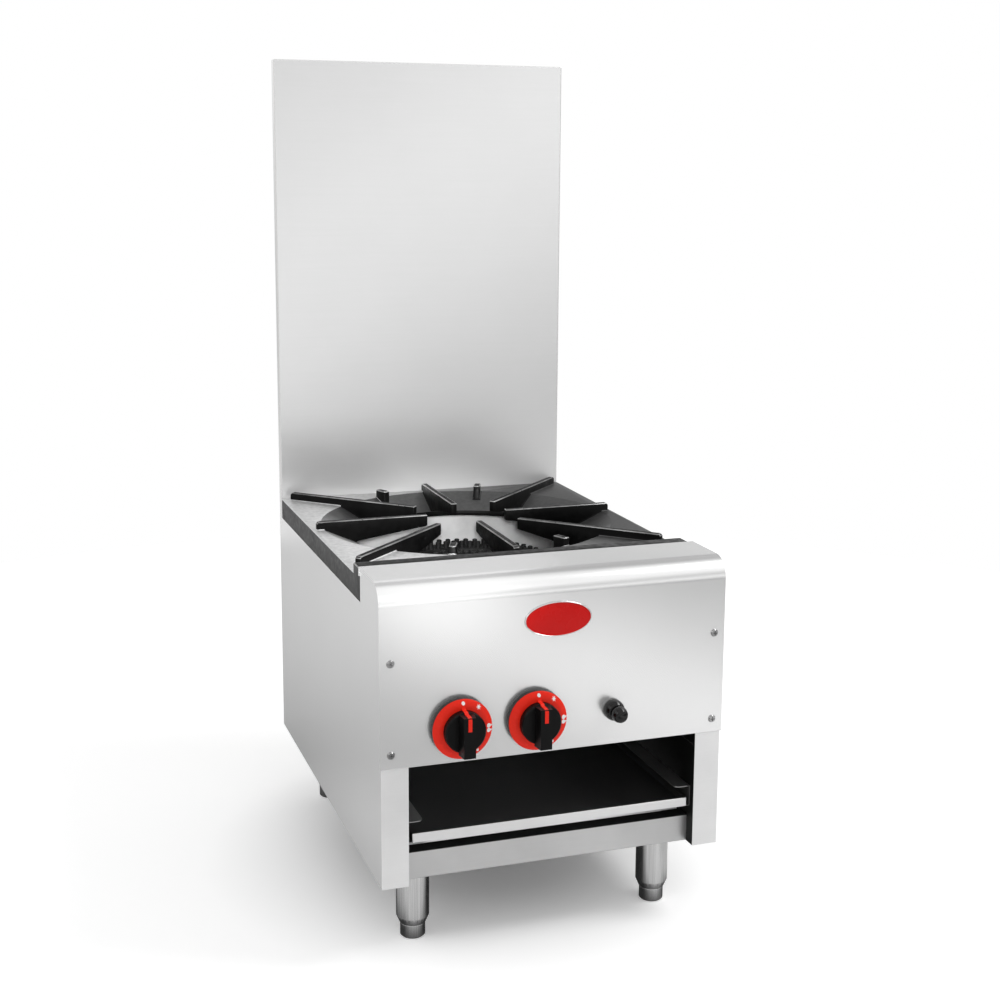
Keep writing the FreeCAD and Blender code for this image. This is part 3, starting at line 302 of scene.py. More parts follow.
# %% [markdown]
# The controls are moulded plastic: a red satin dial, black satin grips and a gloss black igniter. Moulded
# parts carry a very fine texture and a little unevenness in their gloss. Brass, copper, pipe, ceramic and
# the lead's sleeve are the finishes of the gas train inside.


# %% Plastic, brass and other finishes
def moulded(name, dark, light, roughness, texture=0.0, gloss=0.5):
    material, tree, shader = new_finish(name, Metallic=0.0, Specular_IOR_Level=gloss)
    fine = grain(tree, 900.0, detail=2.0)
    slow = grain(tree, 60.0, detail=3.0)
    feed(tree, shader, Base_Color=noise_ramp(tree, slow, dark, light),
         Roughness=spread(tree, slow, roughness * 0.85, roughness * 1.2))
    raise_surface(tree, shader, fine, strength=0.15, distance=texture)
    return material


def metal(name, dark, light, roughness):
    material, tree, shader = new_finish(name, Metallic=1.0)
    slow = grain(tree, 70.0, detail=6.0)
    feed(tree, shader, Base_Color=noise_ramp(tree, slow, dark, light),
         Roughness=spread(tree, slow, roughness * 0.8, roughness * 1.25))
    raise_surface(tree, shader, slow, strength=0.1, distance=0.2 * MM)
    return material


dial_red = moulded("red_dial", (0.90, 0.018, 0.005), (0.95, 0.024, 0.007), 0.42, 0.06 * MM, gloss=0.25)
knob_black = moulded("black_knob", 0.0025, 0.004, 0.36, 0.08 * MM, gloss=0.14)
igniter_black = moulded("gloss_igniter", 0.002, 0.003, 0.07, gloss=0.36)
mark_white = moulded("white_mark", 0.84, 0.90, 0.5, 0.02 * MM)
badge_red = moulded("red_enamel", (0.64, 0.007, 0.006), (0.67, 0.008, 0.007), 0.26, gloss=0.18)
electrode_white = moulded("glazed_ceramic", (0.78, 0.75, 0.68), (0.86, 0.84, 0.78), 0.25, 0.03 * MM)
lead_rubber = moulded("silicone_sleeve", (0.36, 0.03, 0.025), (0.46, 0.04, 0.03), 0.55, 0.10 * MM)
valve_brass = metal("machined_brass", (0.62, 0.44, 0.19), (0.76, 0.57, 0.27), 0.30)
lead_copper = metal("drawn_copper", (0.62, 0.30, 0.18), (0.76, 0.42, 0.27), 0.32)
gas_pipe = metal("galvanised_pipe", 0.36, 0.52, 0.45)
stem_steel = metal("zinc_plated_steel", (0.52, 0.52, 0.50), (0.66, 0.66, 0.63), 0.32)
finish_of_slot = {
    "panel_steel": panel_steel, "frame_steel": frame_steel, "tray_steel": tray_steel,
    "leg_steel": leg_steel, "foot_steel": leg_steel, "grate_iron": grate_coat,
    "burner_iron": burner_iron, "valve_brass": valve_brass, "stem_steel": stem_steel,
    "gas_pipe": gas_pipe, "dial_red": dial_red, "knob_black": knob_black,
    "igniter_black": igniter_black, "badge_red": badge_red, "electrode_white": electrode_white,
    "lead_rubber": lead_rubber, "lead_copper": lead_copper, "fastener_steel": bright_steel,
}
for name, thing in nodes.items():
    thing.data.materials.clear()
    thing.data.materials.append(finish_of_slot[slot_of[name]])
print(len(finish_of_slot), "finishes on", len(nodes), "nodes")

# %% [markdown]
# A finished piece sits at the origin with its place in its mesh. It rides on the body of the node that it
# stands for, and hides the node. One helper does both, and another makes an addition that hides
# nothing.


# %% Piece helpers
def new_object(name, mesh, *materials):
    thing = bpy.data.objects.new(name, mesh)
    bpy.context.scene.collection.objects.link(thing)
    for material in materials:
        mesh.materials.append(material)
    return thing


def piece_from(name, built, *materials):
    """An object from a built mesh."""
    mesh = bpy.data.meshes.new(name)
    built.to_mesh(mesh)
    built.free()
    return new_object(name, mesh, *materials)


def evaluated_mesh(thing, modifier):
    """The plain mesh that a modifier gives; the modifier is dropped."""
    evaluated = thing.evaluated_get(bpy.context.evaluated_depsgraph_get())
    mesh = bpy.data.meshes.new_from_object(evaluated)
    thing.modifiers.remove(modifier)
    return mesh


def stand_for(thing, *names):
    """The piece replaces these nodes, which all ride on one body."""
    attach(thing, body_of[names[0]])
    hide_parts(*names)
    print(thing.name, "stands for", ", ".join(names), "with", len(thing.data.polygons), "faces")
    return thing


def add_to(thing, body):
    """The piece is an addition that rides on a body."""
    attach(thing, body)
    print(thing.name, "rides on", body, "with", len(thing.data.polygons), "faces")


# %% [markdown]
# Folded sheet has a small radius at every bend, and that radius catches the light as a thin bright line.
# A copy of the node's mesh is merged, its flat faces are joined, and the edges between two broad faces
# are rounded. The raw cut edges of the sheet, whose faces are narrow, stay crisp. Weighted normals then
# let the broad faces set the shading along the roundings, so that flat sheet looks flat.

# %% Easing helpers
BROAD_FACE = 3.0 * MM
MERGE_GAP = 0.002 * MM
UPRIGHT_SLACK = 0.1 * MM
FLAT_ANGLE = math.radians(1.0)
FOLD_ANGLE = math.radians(50.0)
SHARP_EASED = math.radians(40.0)
CORNER_STEPS = 5


def merged_copy(name):
    built = bmesh.new()
    built.from_mesh(nodes[name].data)
    bmesh.ops.remove_doubles(built, verts=built.verts, dist=MERGE_GAP)
    bmesh.ops.dissolve_limit(built, angle_limit=FLAT_ANGLE, verts=built.verts, edges=built.edges)
    return built


def breadth(face):
    longest = max(edge.calc_length() for edge in face.edges)
    return face.calc_area() / longest


def is_fold(edge, broad):
    if len(edge.link_faces) != 2 or edge.calc_face_angle(0.0) < FOLD_ANGLE:
        return False
    return all(breadth(face) > broad for face in edge.link_faces)


def rounded_edges(built, edges, radius, steps, clamp=True):
    return bmesh.ops.bevel(built, geom=edges, offset=radius, segments=steps, profile=0.5, affect="EDGES",
                           clamp_overlap=clamp)


def round_front_corners(built, radius):
    """Round the sheet's corners at its front end, seen from above."""
    front_end = min(vert.co.y for vert in built.verts)
    corners = []
    for edge in built.edges:
        first, second = (vert.co for vert in edge.verts)
        upright = abs(first.x - second.x) + abs(first.y - second.y) < UPRIGHT_SLACK
        if upright and edge.calc_length() < BROAD_FACE and first.y < front_end + UPRIGHT_SLACK:
            corners.append(edge)
    rounded_edges(built, corners, radius, CORNER_STEPS, clamp=False)


def even_normals(thing):
    """Let the broad faces set the normals along the roundings."""
    modifier = thing.modifiers.new("even", "WEIGHTED_NORMAL")
    modifier.keep_sharp = True
    plain_mesh = thing.data
    thing.data = evaluated_mesh(thing, modifier)
    bpy.data.meshes.remove(plain_mesh)
    thing.data.name = thing.name


def eased(name, radius, material, broad=BROAD_FACE, steps=3, corner=0.0):
    built = merged_copy(name)
    if corner > 0.0:
        round_front_corners(built, corner)
    rounded_edges(built, [edge for edge in built.edges if is_fold(edge, broad)], radius, steps)
    for face in built.faces:
        face.smooth = True
    thing = piece_from(f"{name}_eased", built, material)
    thing.data.set_sharp_from_angle(angle=SHARP_EASED)
    even_normals(thing)
    return stand_for(thing, name)


def finish_faces(thing, finish, chosen):
    """Give the chosen faces their own finish."""
    thing.data.materials.append(finish)
    index = len(thing.data.materials) - 1
    for face in thing.data.polygons:
        if chosen(face):
            face.material_index = index


# %% [markdown]
# Each sheet gets its own bend radius. Faces that look into the cabinet get the inner sheet's painted shade,
# the side sheets' front flanges are mottled, and the top of the front rail is painted black as shade below
# the tray. The runners' front ends are rounded.

# %% Ease the folded sheets
FACING = 0.7
FLANGE_DEPTH = 3.0 * MM
RUNNER_CORNER = 8.0 * MM
for name, radius, material, corner in (
    ("splashback", 1.6 * MM, splash_steel, 0.0),
    ("front_control_panel", 0.6 * MM, panel_steel, 0.0),
    ("front_lower_rail", 1.4 * MM, frame_steel, 0.0),
    ("rear_lower_rail", 1.4 * MM, frame_steel, 0.0),
    ("left_tray_runner", 1.2 * MM, runner_painted_shade, RUNNER_CORNER),
    ("right_tray_runner", 1.2 * MM, runner_painted_shade, RUNNER_CORNER),
):
    sheet = eased(name, radius, material, corner=corner)
    if name == "front_lower_rail":
        # painted shade: the rail's top, under the tray, is painted nearly black
        finish_faces(sheet, painted_shade_sheet, lambda face: face.normal.z > FACING)
for name, inward in (("left_side_panel", 1), ("right_side_panel", -1)):
    sheet = eased(name, 1.6 * MM, panel_steel)
    finish_faces(sheet, inside_steel, lambda face: (face.normal.x * inward > FACING
                                                    and face.center.y > FRONT + FLANGE_DEPTH))
    finish_faces(sheet, flange_steel, lambda face: (face.normal.y < -FACING
                                                    and face.center.y < FRONT + FLANGE_DEPTH))
tray_low, tray_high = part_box("drip_tray")
tray = eased("drip_tray", 1.2 * MM, tray_steel)
# painted shade: the tray behind its front lip is painted nearly black
finish_faces(tray, painted_shade_sheet, lambda face: face.center.y > tray_low.y + FLANGE_DEPTH)
back_sheet = eased("back_panel", 1.2 * MM, panel_steel)
finish_faces(back_sheet, inside_steel, lambda face: face.normal.y < -FACING)
nodes["heat_baffle"].data.materials[0] = inside_steel

# %% [markdown]
# New forms are lofted: rings of points are joined by bands of faces. The first of them is the rolled hem
# along the lower edge of the tray's lip.

# %% Ring helpers and the tray's hem
HEM_RADIUS = 1.2 * MM
HEM_DROP = 0.8 * MM
HEM_INSET = 14.0 * MM
HEM_STEPS = 16


def circle(count):
    """Sine and cosine of so many equal steps round a circle."""
    angles = [2 * math.pi * step / count for step in range(count)]
    return [(math.sin(angle), math.cos(angle)) for angle in angles]


def loft(built, rings, closed=False):
    """Join rings of as many points by bands of faces; unless closed, the two end caps come last."""
    bands = []
    for first, second in zip(rings, rings[1:] + rings[:1] if closed else rings[1:]):
        afters = list(range(1, len(first))) + [0]
        bands.append([built.faces.new((first[step], first[after], second[after], second[step]))
                      for step, after in enumerate(afters)])
    if not closed:
        bands.append([built.faces.new(rings[0][::-1]), built.faces.new(rings[-1])])
    return bands


def outward(built):
    bmesh.ops.recalc_face_normals(built, faces=built.faces)


def tray_hem():
    built = bmesh.new()
    rings = [[built.verts.new((x, tray_low.y + HEM_RADIUS * (1 + along),
                               tray_low.z - HEM_DROP + HEM_RADIUS * up)) for up, along in circle(HEM_STEPS)]
             for x in (tray_low.x + HEM_INSET, tray_high.x - HEM_INSET)]
    for face in loft(built, rings)[0]:
        face.smooth = True
    outward(built)
    return piece_from("tray_hem", built, tray_steel)


add_to(tray_hem(), "drip_tray")

# %% [markdown]
# Turned and moulded pieces get the same treatment with their own radius: every crisp rim is rounded, so
# that it catches the light. The legs and feet are turned steel, and the dials and grips are moulded. The
# front of each grip is set back a little, because a raised pointer will lie on it, and its tail is
# trimmed. Only the face of a dial is red; its rim and back are black, partly the knob's own black and
# partly a painted shadow of the dial on the sheet.

# %% Ease the turned and moulded pieces
NARROW_FACE = 0.2 * MM
POINTER_STAND = 0.8 * MM
GRIP_FRONT_DEPTH = 2.0 * MM
GRIP_TAIL_DEPTH = 3.0 * MM
GRIP_TRIM = 2.6 * MM
DIAL_FACING = -0.25
for corner in [f"{row}_{side}" for row in ("front", "rear") for side in SIDES]:
    eased(f"{corner}_leg", 0.5 * MM, leg_steel, NARROW_FACE)
    eased(f"{corner}_foot", 0.8 * MM, leg_steel, NARROW_FACE)
for side in SIDES:
    dial = eased(f"{side}_dial", 0.6 * MM, dial_red, NARROW_FACE)
    # partly painted shadow: the dial's rim and back are black, partly the knob's own black moulding
    finish_faces(dial, knob_black, lambda face: face.normal.y >= DIAL_FACING)
    grip = eased(f"{side}_knob_grip", 1.4 * MM, knob_black, NARROW_FACE, steps=4)
    front_of_grip = min(vert.co.y for vert in grip.data.vertices)
    tail_of_grip = min(vert.co.z for vert in grip.data.vertices)
    for vert in grip.data.vertices:
        if vert.co.y < front_of_grip + GRIP_FRONT_DEPTH:
            vert.co.y += POINTER_STAND
        if vert.co.z < tail_of_grip + GRIP_TAIL_DEPTH:
            vert.co.z += GRIP_TRIM

# %% [markdown]
# Round pieces are turned from a profile of (radius, reach from the front sheet) points in millimetres.
# The igniter is a gloss moulding: a fat rounded collar and a domed button in it, whose parts behind the
# sheet keep the sizes of the construction. Behind each dial, a black rim closes the gap over a smaller
# fixed base, and is still clear of the sheet when the knob is pushed in. The black rim and base are partly
# the knob's own black parts and partly a painted shadow, sized to show as a dark crescent at the dial's
# left.

# %% Igniter and dial rims
TURNED_STEPS = 48
SHARP_TURNED = math.radians(35.0)


def turned(name, axis, profile, material):
    """A closed shape of revolution about the line through the axis point, square to the front sheet."""
    built = bmesh.new()
    rings = [[built.verts.new((axis.x + radius * MM * across, FRONT - reach * MM, axis.z + radius * MM * up))
              for across, up in circle(TURNED_STEPS)] for radius, reach in profile]
    loft(built, rings, closed=True)
    bmesh.ops.remove_doubles(built, verts=built.verts, dist=MERGE_GAP)
    bmesh.ops.dissolve_degenerate(built, edges=built.edges, dist=MERGE_GAP / 2)
    outward(built)
    for face in built.faces:
        face.smooth = True
    thing = piece_from(name, built, material)
    thing.data.set_sharp_from_angle(angle=SHARP_TURNED)
    return thing


body_low, body_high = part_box("igniter_body")
button_low, button_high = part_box("igniter_button")
igniter_axis = (body_low + body_high) / 2
body_back = (FRONT - body_high.y) / MM
button_back = (FRONT - button_high.y) / MM
button_front = (FRONT - button_low.y) / MM
COLLAR_DEPTH = 14.0
COLLAR_RADIUS = 13.5
BODY_RADIUS = 9.0
BORE_RADIUS = 8.05
BORE_REACH = -27.0
HEAD_BACK = 19.2
BUTTON_RADIUS = 8.0
COLLAR_CURVE = [(COLLAR_RADIUS, 4.5), (13.2, 7.0), (12.5, 9.6), (11.5, 11.8), (10.3, 13.3)]
NOSE_CURVE = [(9.6, HEAD_BACK), (10.3, 20.0), (10.5, 21.4), (10.2, 24.2), (9.4, 27.0), (8.1, 29.4),
              (6.3, 31.1), (4.2, 31.9)]
collar = turned("igniter_collar", igniter_axis, [
    (0, body_back), (BODY_RADIUS, body_back), (BODY_RADIUS, 0), (COLLAR_RADIUS, 0), *COLLAR_CURVE,
    (9.2, COLLAR_DEPTH), (BORE_RADIUS, COLLAR_DEPTH), (BORE_RADIUS, BORE_REACH), (0, BORE_REACH),
], igniter_black)
stand_for(collar, "igniter_body")
nose = turned("igniter_nose", igniter_axis, [
    (0, button_back), (BUTTON_RADIUS, button_back), (BUTTON_RADIUS, HEAD_BACK), *NOSE_CURVE,
    (2.0, button_front), (0, button_front),
], igniter_black)
stand_for(nose, "igniter_button")
STEM_HOLE = 7.0
# the base's radius leaves a dark crescent at the dial's left: partly the knob's black base, partly painted
# shadow
BASE_RADIUS = 36.4
BASE_BEVEL = 0.5
RIM_INSIDE = 37.0
RIM_RADIUS = 38.5
RIM_BACK = 4.9
RIM_FRONT = 9.2
RIM_BEVEL = (0.2, 0.3)
for side in SIDES:
    base_low, base_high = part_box(f"{side}_dial_base")
    base_reach = (base_high.y - base_low.y) / MM
    base = turned(f"{side}_base_disc", knob_centres[side], [
        (STEM_HOLE, 0), (BASE_RADIUS, 0), (BASE_RADIUS, base_reach - BASE_BEVEL),
        (BASE_RADIUS - BASE_BEVEL, base_reach), (STEM_HOLE, base_reach)], knob_black)
    stand_for(base, f"{side}_dial_base")
    rim = turned(f"{side}_dial_rim", knob_centres[side], [
        (RIM_INSIDE, RIM_BACK), (RIM_RADIUS - RIM_BEVEL[0], RIM_BACK), (RIM_RADIUS, RIM_BACK + RIM_BEVEL[1]),
        (RIM_RADIUS, RIM_FRONT), (RIM_INSIDE, RIM_FRONT)], knob_black)
    add_to(rim, f"{side}_knob")

# %% [markdown]
# The dial carries plain marks: a dot for off, a spark for lighting, a double flame for full and a single
# flame for low. Each mark is drawn flat in millimetres, with its own up direction pointing away from the
# dial's centre, and is then laid on the dial's sloping face.

# %% Marks on the dials
DIAL_EDGE_RADIUS = 38.5 * MM
DIAL_EDGE_REACH = 10.4 * MM
DIAL_FACE_RADIUS = 30.0 * MM
DIAL_FACE_REACH = 15.4 * MM
MARK_RADIUS = 33.8 * MM
MARK_LIFT = 0.10 * MM
MARK_DEPTH = 0.5 * MM
DOT_STEPS = 20
FLAME = [(0.2, 3.4), (1.0, 1.9), (1.9, 0.5), (2.0, -1.1), (1.2, -2.4), (0.0, -2.8), (-1.3, -2.4),
         (-2.0, -1.2), (-1.7, 0.2), (-0.9, 0.6), (-0.5, 1.8)]


def star(points, long, short):
    """Outline of a spark with that many points."""
    reaches = (long, short) * points
    return [(reach * across, reach * up) for reach, (across, up) in zip(reaches, circle(2 * points))]


def disc(radius):
    return [(radius * across, radius * up) for across, up in circle(DOT_STEPS)]


def shifted(outline, across, scale):
    return [(x * scale + across, y * scale) for x, y in outline]


DIAL_MARKS = [
    (0.0, disc(2.2)),
    (36.0, star(6, 3.7, 1.4)),
    (91.0, shifted(FLAME, -3.0, 1.4)),
    (91.0, shifted(FLAME, 3.0, 1.4)),
    (146.0, shifted(FLAME, 0.0, 0.85)),
]


def dial_reach(radius):
    """How far the dial's face stands out from the front sheet at that radius."""
    share = (DIAL_EDGE_RADIUS - radius) / (DIAL_EDGE_RADIUS - DIAL_FACE_RADIUS)
    share = min(max(share, 0.0), 1.0)
    return DIAL_EDGE_REACH + share * (DIAL_FACE_REACH - DIAL_EDGE_REACH)


def lay_mark(built, centre, angle, outline):
    """One mark on the dial, turned clockwise from the top by an angle in degrees."""
    turn = math.radians(angle)
    away = Vector((math.sin(turn), 0.0, math.cos(turn)))
    along = Vector((math.cos(turn), 0.0, -math.sin(turn)))
    top = []
    base = []
    for x, y in outline:
        flat = away * (MARK_RADIUS + y * MM) + along * (x * MM)
        reach = dial_reach(flat.length) + MARK_LIFT
        top.append(built.verts.new(Vector((centre.x, FRONT - reach, centre.z)) + flat))
        base.append(built.verts.new(Vector((centre.x, FRONT - reach + MARK_DEPTH, centre.z)) + flat))
    loft(built, [top, base])


def dial_marks(side):
    built = bmesh.new()
    for angle, outline in DIAL_MARKS:
        lay_mark(built, knob_centres[side], angle, outline)
    outward(built)
    add_to(piece_from(f"{side}_dial_marks", built, mark_white), f"{side}_knob")


# %% [markdown]
# A raised red pointer climbs from the dial over the cap to the front of the grip. It is a strip of one
# section, set square to each point of a path of (height above the axis, reach from the front sheet)
# points in millimetres.

# %% Pointers on the dials
POINTER_PATH = [(29.8, 15.3), (27.2, 15.9), (26.3, 17.5), (26.3, 24.6), (25.6, 26.4), (24.3, 28.0),
                (24.3, 38.8), (23.7, 40.6), (22.2, 41.6), (20.0, 41.9), (7.0, 41.9)]
POINTER_HALF_WIDTH = 2.4 * MM
POINTER_RISE = 0.4 * MM
POINTER_DEPTH = 2.0 * MM
POINTER_SECTION = ((-POINTER_HALF_WIDTH, -POINTER_DEPTH), (-POINTER_HALF_WIDTH, POINTER_RISE),
                   (POINTER_HALF_WIDTH, POINTER_RISE), (POINTER_HALF_WIDTH, -POINTER_DEPTH))


def pointer(side):
    built = bmesh.new()
    centre = knob_centres[side]
    origin = Vector((centre.x, FRONT, centre.z))
    path = [Vector((0.0, -reach * MM, height * MM)) for height, reach in POINTER_PATH]
    rows = []
    for number, point in enumerate(path):
        before = path[max(number - 1, 0)]
        after = path[min(number + 1, len(path) - 1)]
        out = Vector((1.0, 0.0, 0.0)).cross((after - before).normalized())
        if out.y - out.z > 0.0:
            out.negate()
        rows.append([built.verts.new(origin + point + Vector((across, 0.0, 0.0)) + out * lift)
                     for across, lift in POINTER_SECTION])
    loft(built, rows)
    outward(built)
    add_to(piece_from(f"{side}_pointer", built, dial_red), f"{side}_knob")


for side in SIDES:
    dial_marks(side)
    pointer(side)

# %% [markdown]
# The badge on the front sheet is an oval of red enamel in a thin bright rim. Its face is left plain. It
# is built from rings of one oval: each ring has an inset in rim widths, a share of the badge's reach from
# the sheet and a finish, 0 for the rim and 1 for the enamel.

# %% Badge
BADGE_STEPS = 72
BADGE_RIM = 1.3 * MM
BADGE_PROFILE = [(0.0, 0.0, 0), (0.0, 0.7, 0), (0.25, 0.95, 0), (0.6, 1.0, 0), (0.9, 0.92, 0),
                 (1.0, 0.72, 1), (3.0, 0.80, 1), (7.0, 0.90, 1), (13.0, 0.97, 1)]
badge_low, badge_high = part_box("badge_plate")
badge_centre = (badge_low + badge_high) / 2
badge_size = badge_high - badge_low


def oval_ring(built, inset, reach):
    wide = badge_size.x / 2 - inset
    high = badge_size.z / 2 - inset
    return [built.verts.new((badge_centre.x + wide * across, FRONT - reach, badge_centre.z + high * up))
            for across, up in circle(BADGE_STEPS)]


def badge():
    built = bmesh.new()
    rings = [oval_ring(built, inset * BADGE_RIM, share * badge_size.y)
             for inset, share, finish in BADGE_PROFILE]
    *bands, caps = loft(built, rings)
    for band, (inset, share, finish) in zip(bands, BADGE_PROFILE):
        for face in band:
            face.material_index = finish
            face.smooth = True
    caps[-1].material_index = 1
    outward(built)
    stand_for(piece_from("badge_oval", built, bright_steel, badge_red), "badge_plate")


badge()

# %% [markdown]
# Screws and burner ports repeat, so Geometry Nodes make them. Small helpers start and end a tree, set its
# named inputs by their identifiers, read the result as a plain mesh and drop the modifier.


# %% Geometry Nodes helpers
def new_tree(name, **inputs):
    """A tree with a Material input and named float inputs."""
    made = bpy.data.node_groups.new(name, "GeometryNodeTree")
    made.interface.new_socket("Points", in_out="INPUT", socket_type="NodeSocketGeometry")
    for label, value in inputs.items():
        socket = made.interface.new_socket(label.replace("_", " "), in_out="INPUT",
                                           socket_type="NodeSocketFloat")
        socket.default_value = value
    made.interface.new_socket("Finish", in_out="INPUT", socket_type="NodeSocketMaterial")
    made.interface.new_socket("Made", in_out="OUTPUT", socket_type="NodeSocketGeometry")
    return made, made.nodes.new("NodeGroupInput").outputs


def end_tree(made, inlet, shape, **stance):
    """Stand the shape on every point, realise the instances, give them their finish and end the tree."""
    stood = tree_node(made, "GeometryNodeInstanceOnPoints", Points=inlet["Points"], Instance=shape, **stance)
    real = tree_node(made, "GeometryNodeRealizeInstances", Geometry=stood.outputs["Instances"])
    painted = tree_node(made, "GeometryNodeSetMaterial", Geometry=real.outputs["Geometry"],
                        Material=inlet["Finish"])
    tree_node(made, "NodeGroupOutput", Made=painted.outputs["Geometry"])
    return made


def grow(name, made, points, finish, **inputs):
    """Run a tree over points and keep the result as a plain mesh object."""
    seed = bpy.data.meshes.new(f"{name}_points")
    seed.from_pydata([tuple(point) for point in points], [], [])
    carrier = new_object(f"{name}_carrier", seed)
    modifier = carrier.modifiers.new("grow", "NODES")
    modifier.node_group = made
    values = {label.replace("_", " "): value for label, value in inputs.items()}
    values["Finish"] = finish
    for item in made.interface.items_tree:
        if item.in_out == "INPUT" and item.name in values:
            modifier[item.identifier] = values[item.name]
    mesh = evaluated_mesh(carrier, modifier)
    mesh.name = name
    bpy.data.objects.remove(carrier)
    return new_object(name, mesh)


# %% [markdown]
# A pan head screw is a low cone with a cross cut into its top. The tree makes one head with its shank,
# cuts the cross, stands the screw on every point and turns it to face the front or the back.

# %% Screw tree
CROWN_SHARE = 0.74
CROSS_LENGTH = 1.15
CROSS_WIDTH = 0.30
HEAD_SIDES = 28
SHANK_SIDES = 16


def moved(made, mesh, **shift):
    """A mesh shifted along the axes that are given."""
    step = tree_node(made, "ShaderNodeCombineXYZ", **shift)
    node = tree_node(made, "GeometryNodeTransform", Geometry=mesh, Translation=step.outputs["Vector"])
    return node.outputs["Geometry"]


def screw_tree():
    made, inlet = new_tree("pan_head_screw", Head_Radius=5.0 * MM, Head_Height=2.6 * MM,
                           Shank_Radius=2.0 * MM, Shank_Length=5.0 * MM, Turn=0.0)
    radius = inlet["Head Radius"]
    height = inlet["Head Height"]
    length = inlet["Shank Length"]
    crown = arithmetic(made, "MULTIPLY", radius, CROWN_SHARE)
    head = tree_node(made, "GeometryNodeMeshCone", {"Vertices": HEAD_SIDES}, Radius_Top=crown,
                     Radius_Bottom=radius, Depth=height)
    slot_length = arithmetic(made, "MULTIPLY", radius, CROSS_LENGTH)
    slot_width = arithmetic(made, "MULTIPLY", radius, CROSS_WIDTH)
    cross = tree_node(made, "GeometryNodeMeshBoolean")
    made.links.new(head.outputs["Mesh"], cross.inputs["Mesh 1"])
    for first, second in ((slot_length, slot_width), (slot_width, slot_length)):
        size = tree_node(made, "ShaderNodeCombineXYZ", X=first, Y=second, Z=height)
        bar = tree_node(made, "GeometryNodeMeshCube", Size=size.outputs["Vector"])
        made.links.new(moved(made, bar.outputs["Mesh"], Z=height), cross.inputs["Mesh 2"])
    shank = tree_node(made, "GeometryNodeMeshCylinder", {"Vertices": SHANK_SIDES},
                      Radius=inlet["Shank Radius"], Depth=length)
    whole = tree_node(made, "GeometryNodeJoinGeometry")
    lowered = moved(made, shank.outputs["Mesh"], Z=arithmetic(made, "MULTIPLY", length, -0.5))
    for shape in (cross.outputs["Mesh"], lowered):
        made.links.new(shape, whole.inputs["Geometry"])
    facing = tree_node(made, "ShaderNodeCombineXYZ", X=inlet["Turn"])
    return end_tree(made, inlet, whole.outputs["Geometry"], Rotation=facing.outputs["Vector"])


screw_maker = screw_tree()
print("screw tree with", len(screw_maker.nodes), "nodes")

# %% [markdown]
# The screws stand where the construction has its fasteners. The node holds all of them in one mesh, so
# its islands are sorted out first, and the middle of each island's box is an axis.


# %% Screws
def islands(built):
    """The sets of vertices that hang together."""
    waiting = set(built.verts)
    while waiting:
        island = set()
        growing = [waiting.pop()]
        while growing:
            vert = growing.pop()
            island.add(vert)
            for edge in vert.link_edges:
                other = edge.other_vert(vert)
                if other in waiting:
                    waiting.remove(other)
                    growing.append(other)
        yield island


def seats_of(name, seat_y):
    """Axis points of the separate fasteners in a node, on their common seat."""
    built = merged_copy(name)
    centres = []
    for island in islands(built):
        xs = [vert.co.x for vert in island]
        zs = [vert.co.z for vert in island]
        centres.append(Vector(((min(xs) + max(xs)) / 2, seat_y, (min(zs) + max(zs)) / 2)))
    built.free()
    return sorted(centres, key=lambda centre: (round(centre.x, 4), round(centre.z, 4)))


SCREW_HEAD_RADIUS = 5.2 * MM
SCREW_HEAD_HEIGHT = 2.6 * MM
FACING_FRONT = math.radians(90.0)
front_screw_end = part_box("front_panel_screws")[1].y
back_screw_low, back_screw_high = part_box("splashback_screws")
back_seat = back_screw_high.y - SCREW_HEAD_HEIGHT
for name, stands_for, seat, turn, shank in (
    ("front_screws", "front_panel_screws", FRONT, FACING_FRONT, front_screw_end - FRONT),
    ("back_screws", "splashback_screws", back_seat, -FACING_FRONT, back_seat - back_screw_low.y),
):
    screws = grow(name, screw_maker, seats_of(stands_for, seat), screw_steel, Turn=turn,
                  Head_Radius=SCREW_HEAD_RADIUS, Shank_Length=shank)
    stand_for(screws, stands_for)

# %% [markdown]
# Gas leaves each burner ring through drilled bosses in two staggered rows. Each boss gets a rounded lip
# round its bore. The rows follow a rule, a count round a circle, so the tree takes the points of both
# rows and stands a lip on each.

# %% Burner ports
PORT_PITCH = 13.0 * MM
PORT_ROW_OFFSET = 7.0 * MM
LIP_STEPS = 14
LIP_SECTION_STEPS = 6
BURNER_RINGS = (("outer", 120.0 * MM), ("inner", 52.0 * MM))


def port_tree():
    made, inlet = new_tree("burner_port", Lip_Radius=2.8 * MM, Lip_Thickness=0.8 * MM)
    ring = tree_node(made, "GeometryNodeCurvePrimitiveCircle", {"Resolution": LIP_STEPS},
                     Radius=inlet["Lip Radius"])
    section = tree_node(made, "GeometryNodeCurvePrimitiveCircle", {"Resolution": LIP_SECTION_STEPS},
                        Radius=inlet["Lip Thickness"])
    lip = tree_node(made, "GeometryNodeCurveToMesh", Curve=ring.outputs["Curve"],
                    Profile_Curve=section.outputs["Curve"])
    return end_tree(made, inlet, lip.outputs["Mesh"])


def port_points(ring_radius):
    count = int(2 * math.pi * ring_radius / PORT_PITCH)
    points = []
    for row, radius in enumerate((ring_radius - PORT_ROW_OFFSET, ring_radius + PORT_ROW_OFFSET)):
        for step in range(count):
            angle = (2 * step + row) * math.pi / count
            points.append(burner_centre + Vector((radius * math.cos(angle), radius * math.sin(angle), 0.0)))
    return points


port_maker = port_tree()
for name, ring_radius in BURNER_RINGS:
    lips = grow(f"{name}_burner_ports", port_maker, port_points(ring_radius), burner_iron)
    add_to(lips, body_of[f"{name}_burner"])

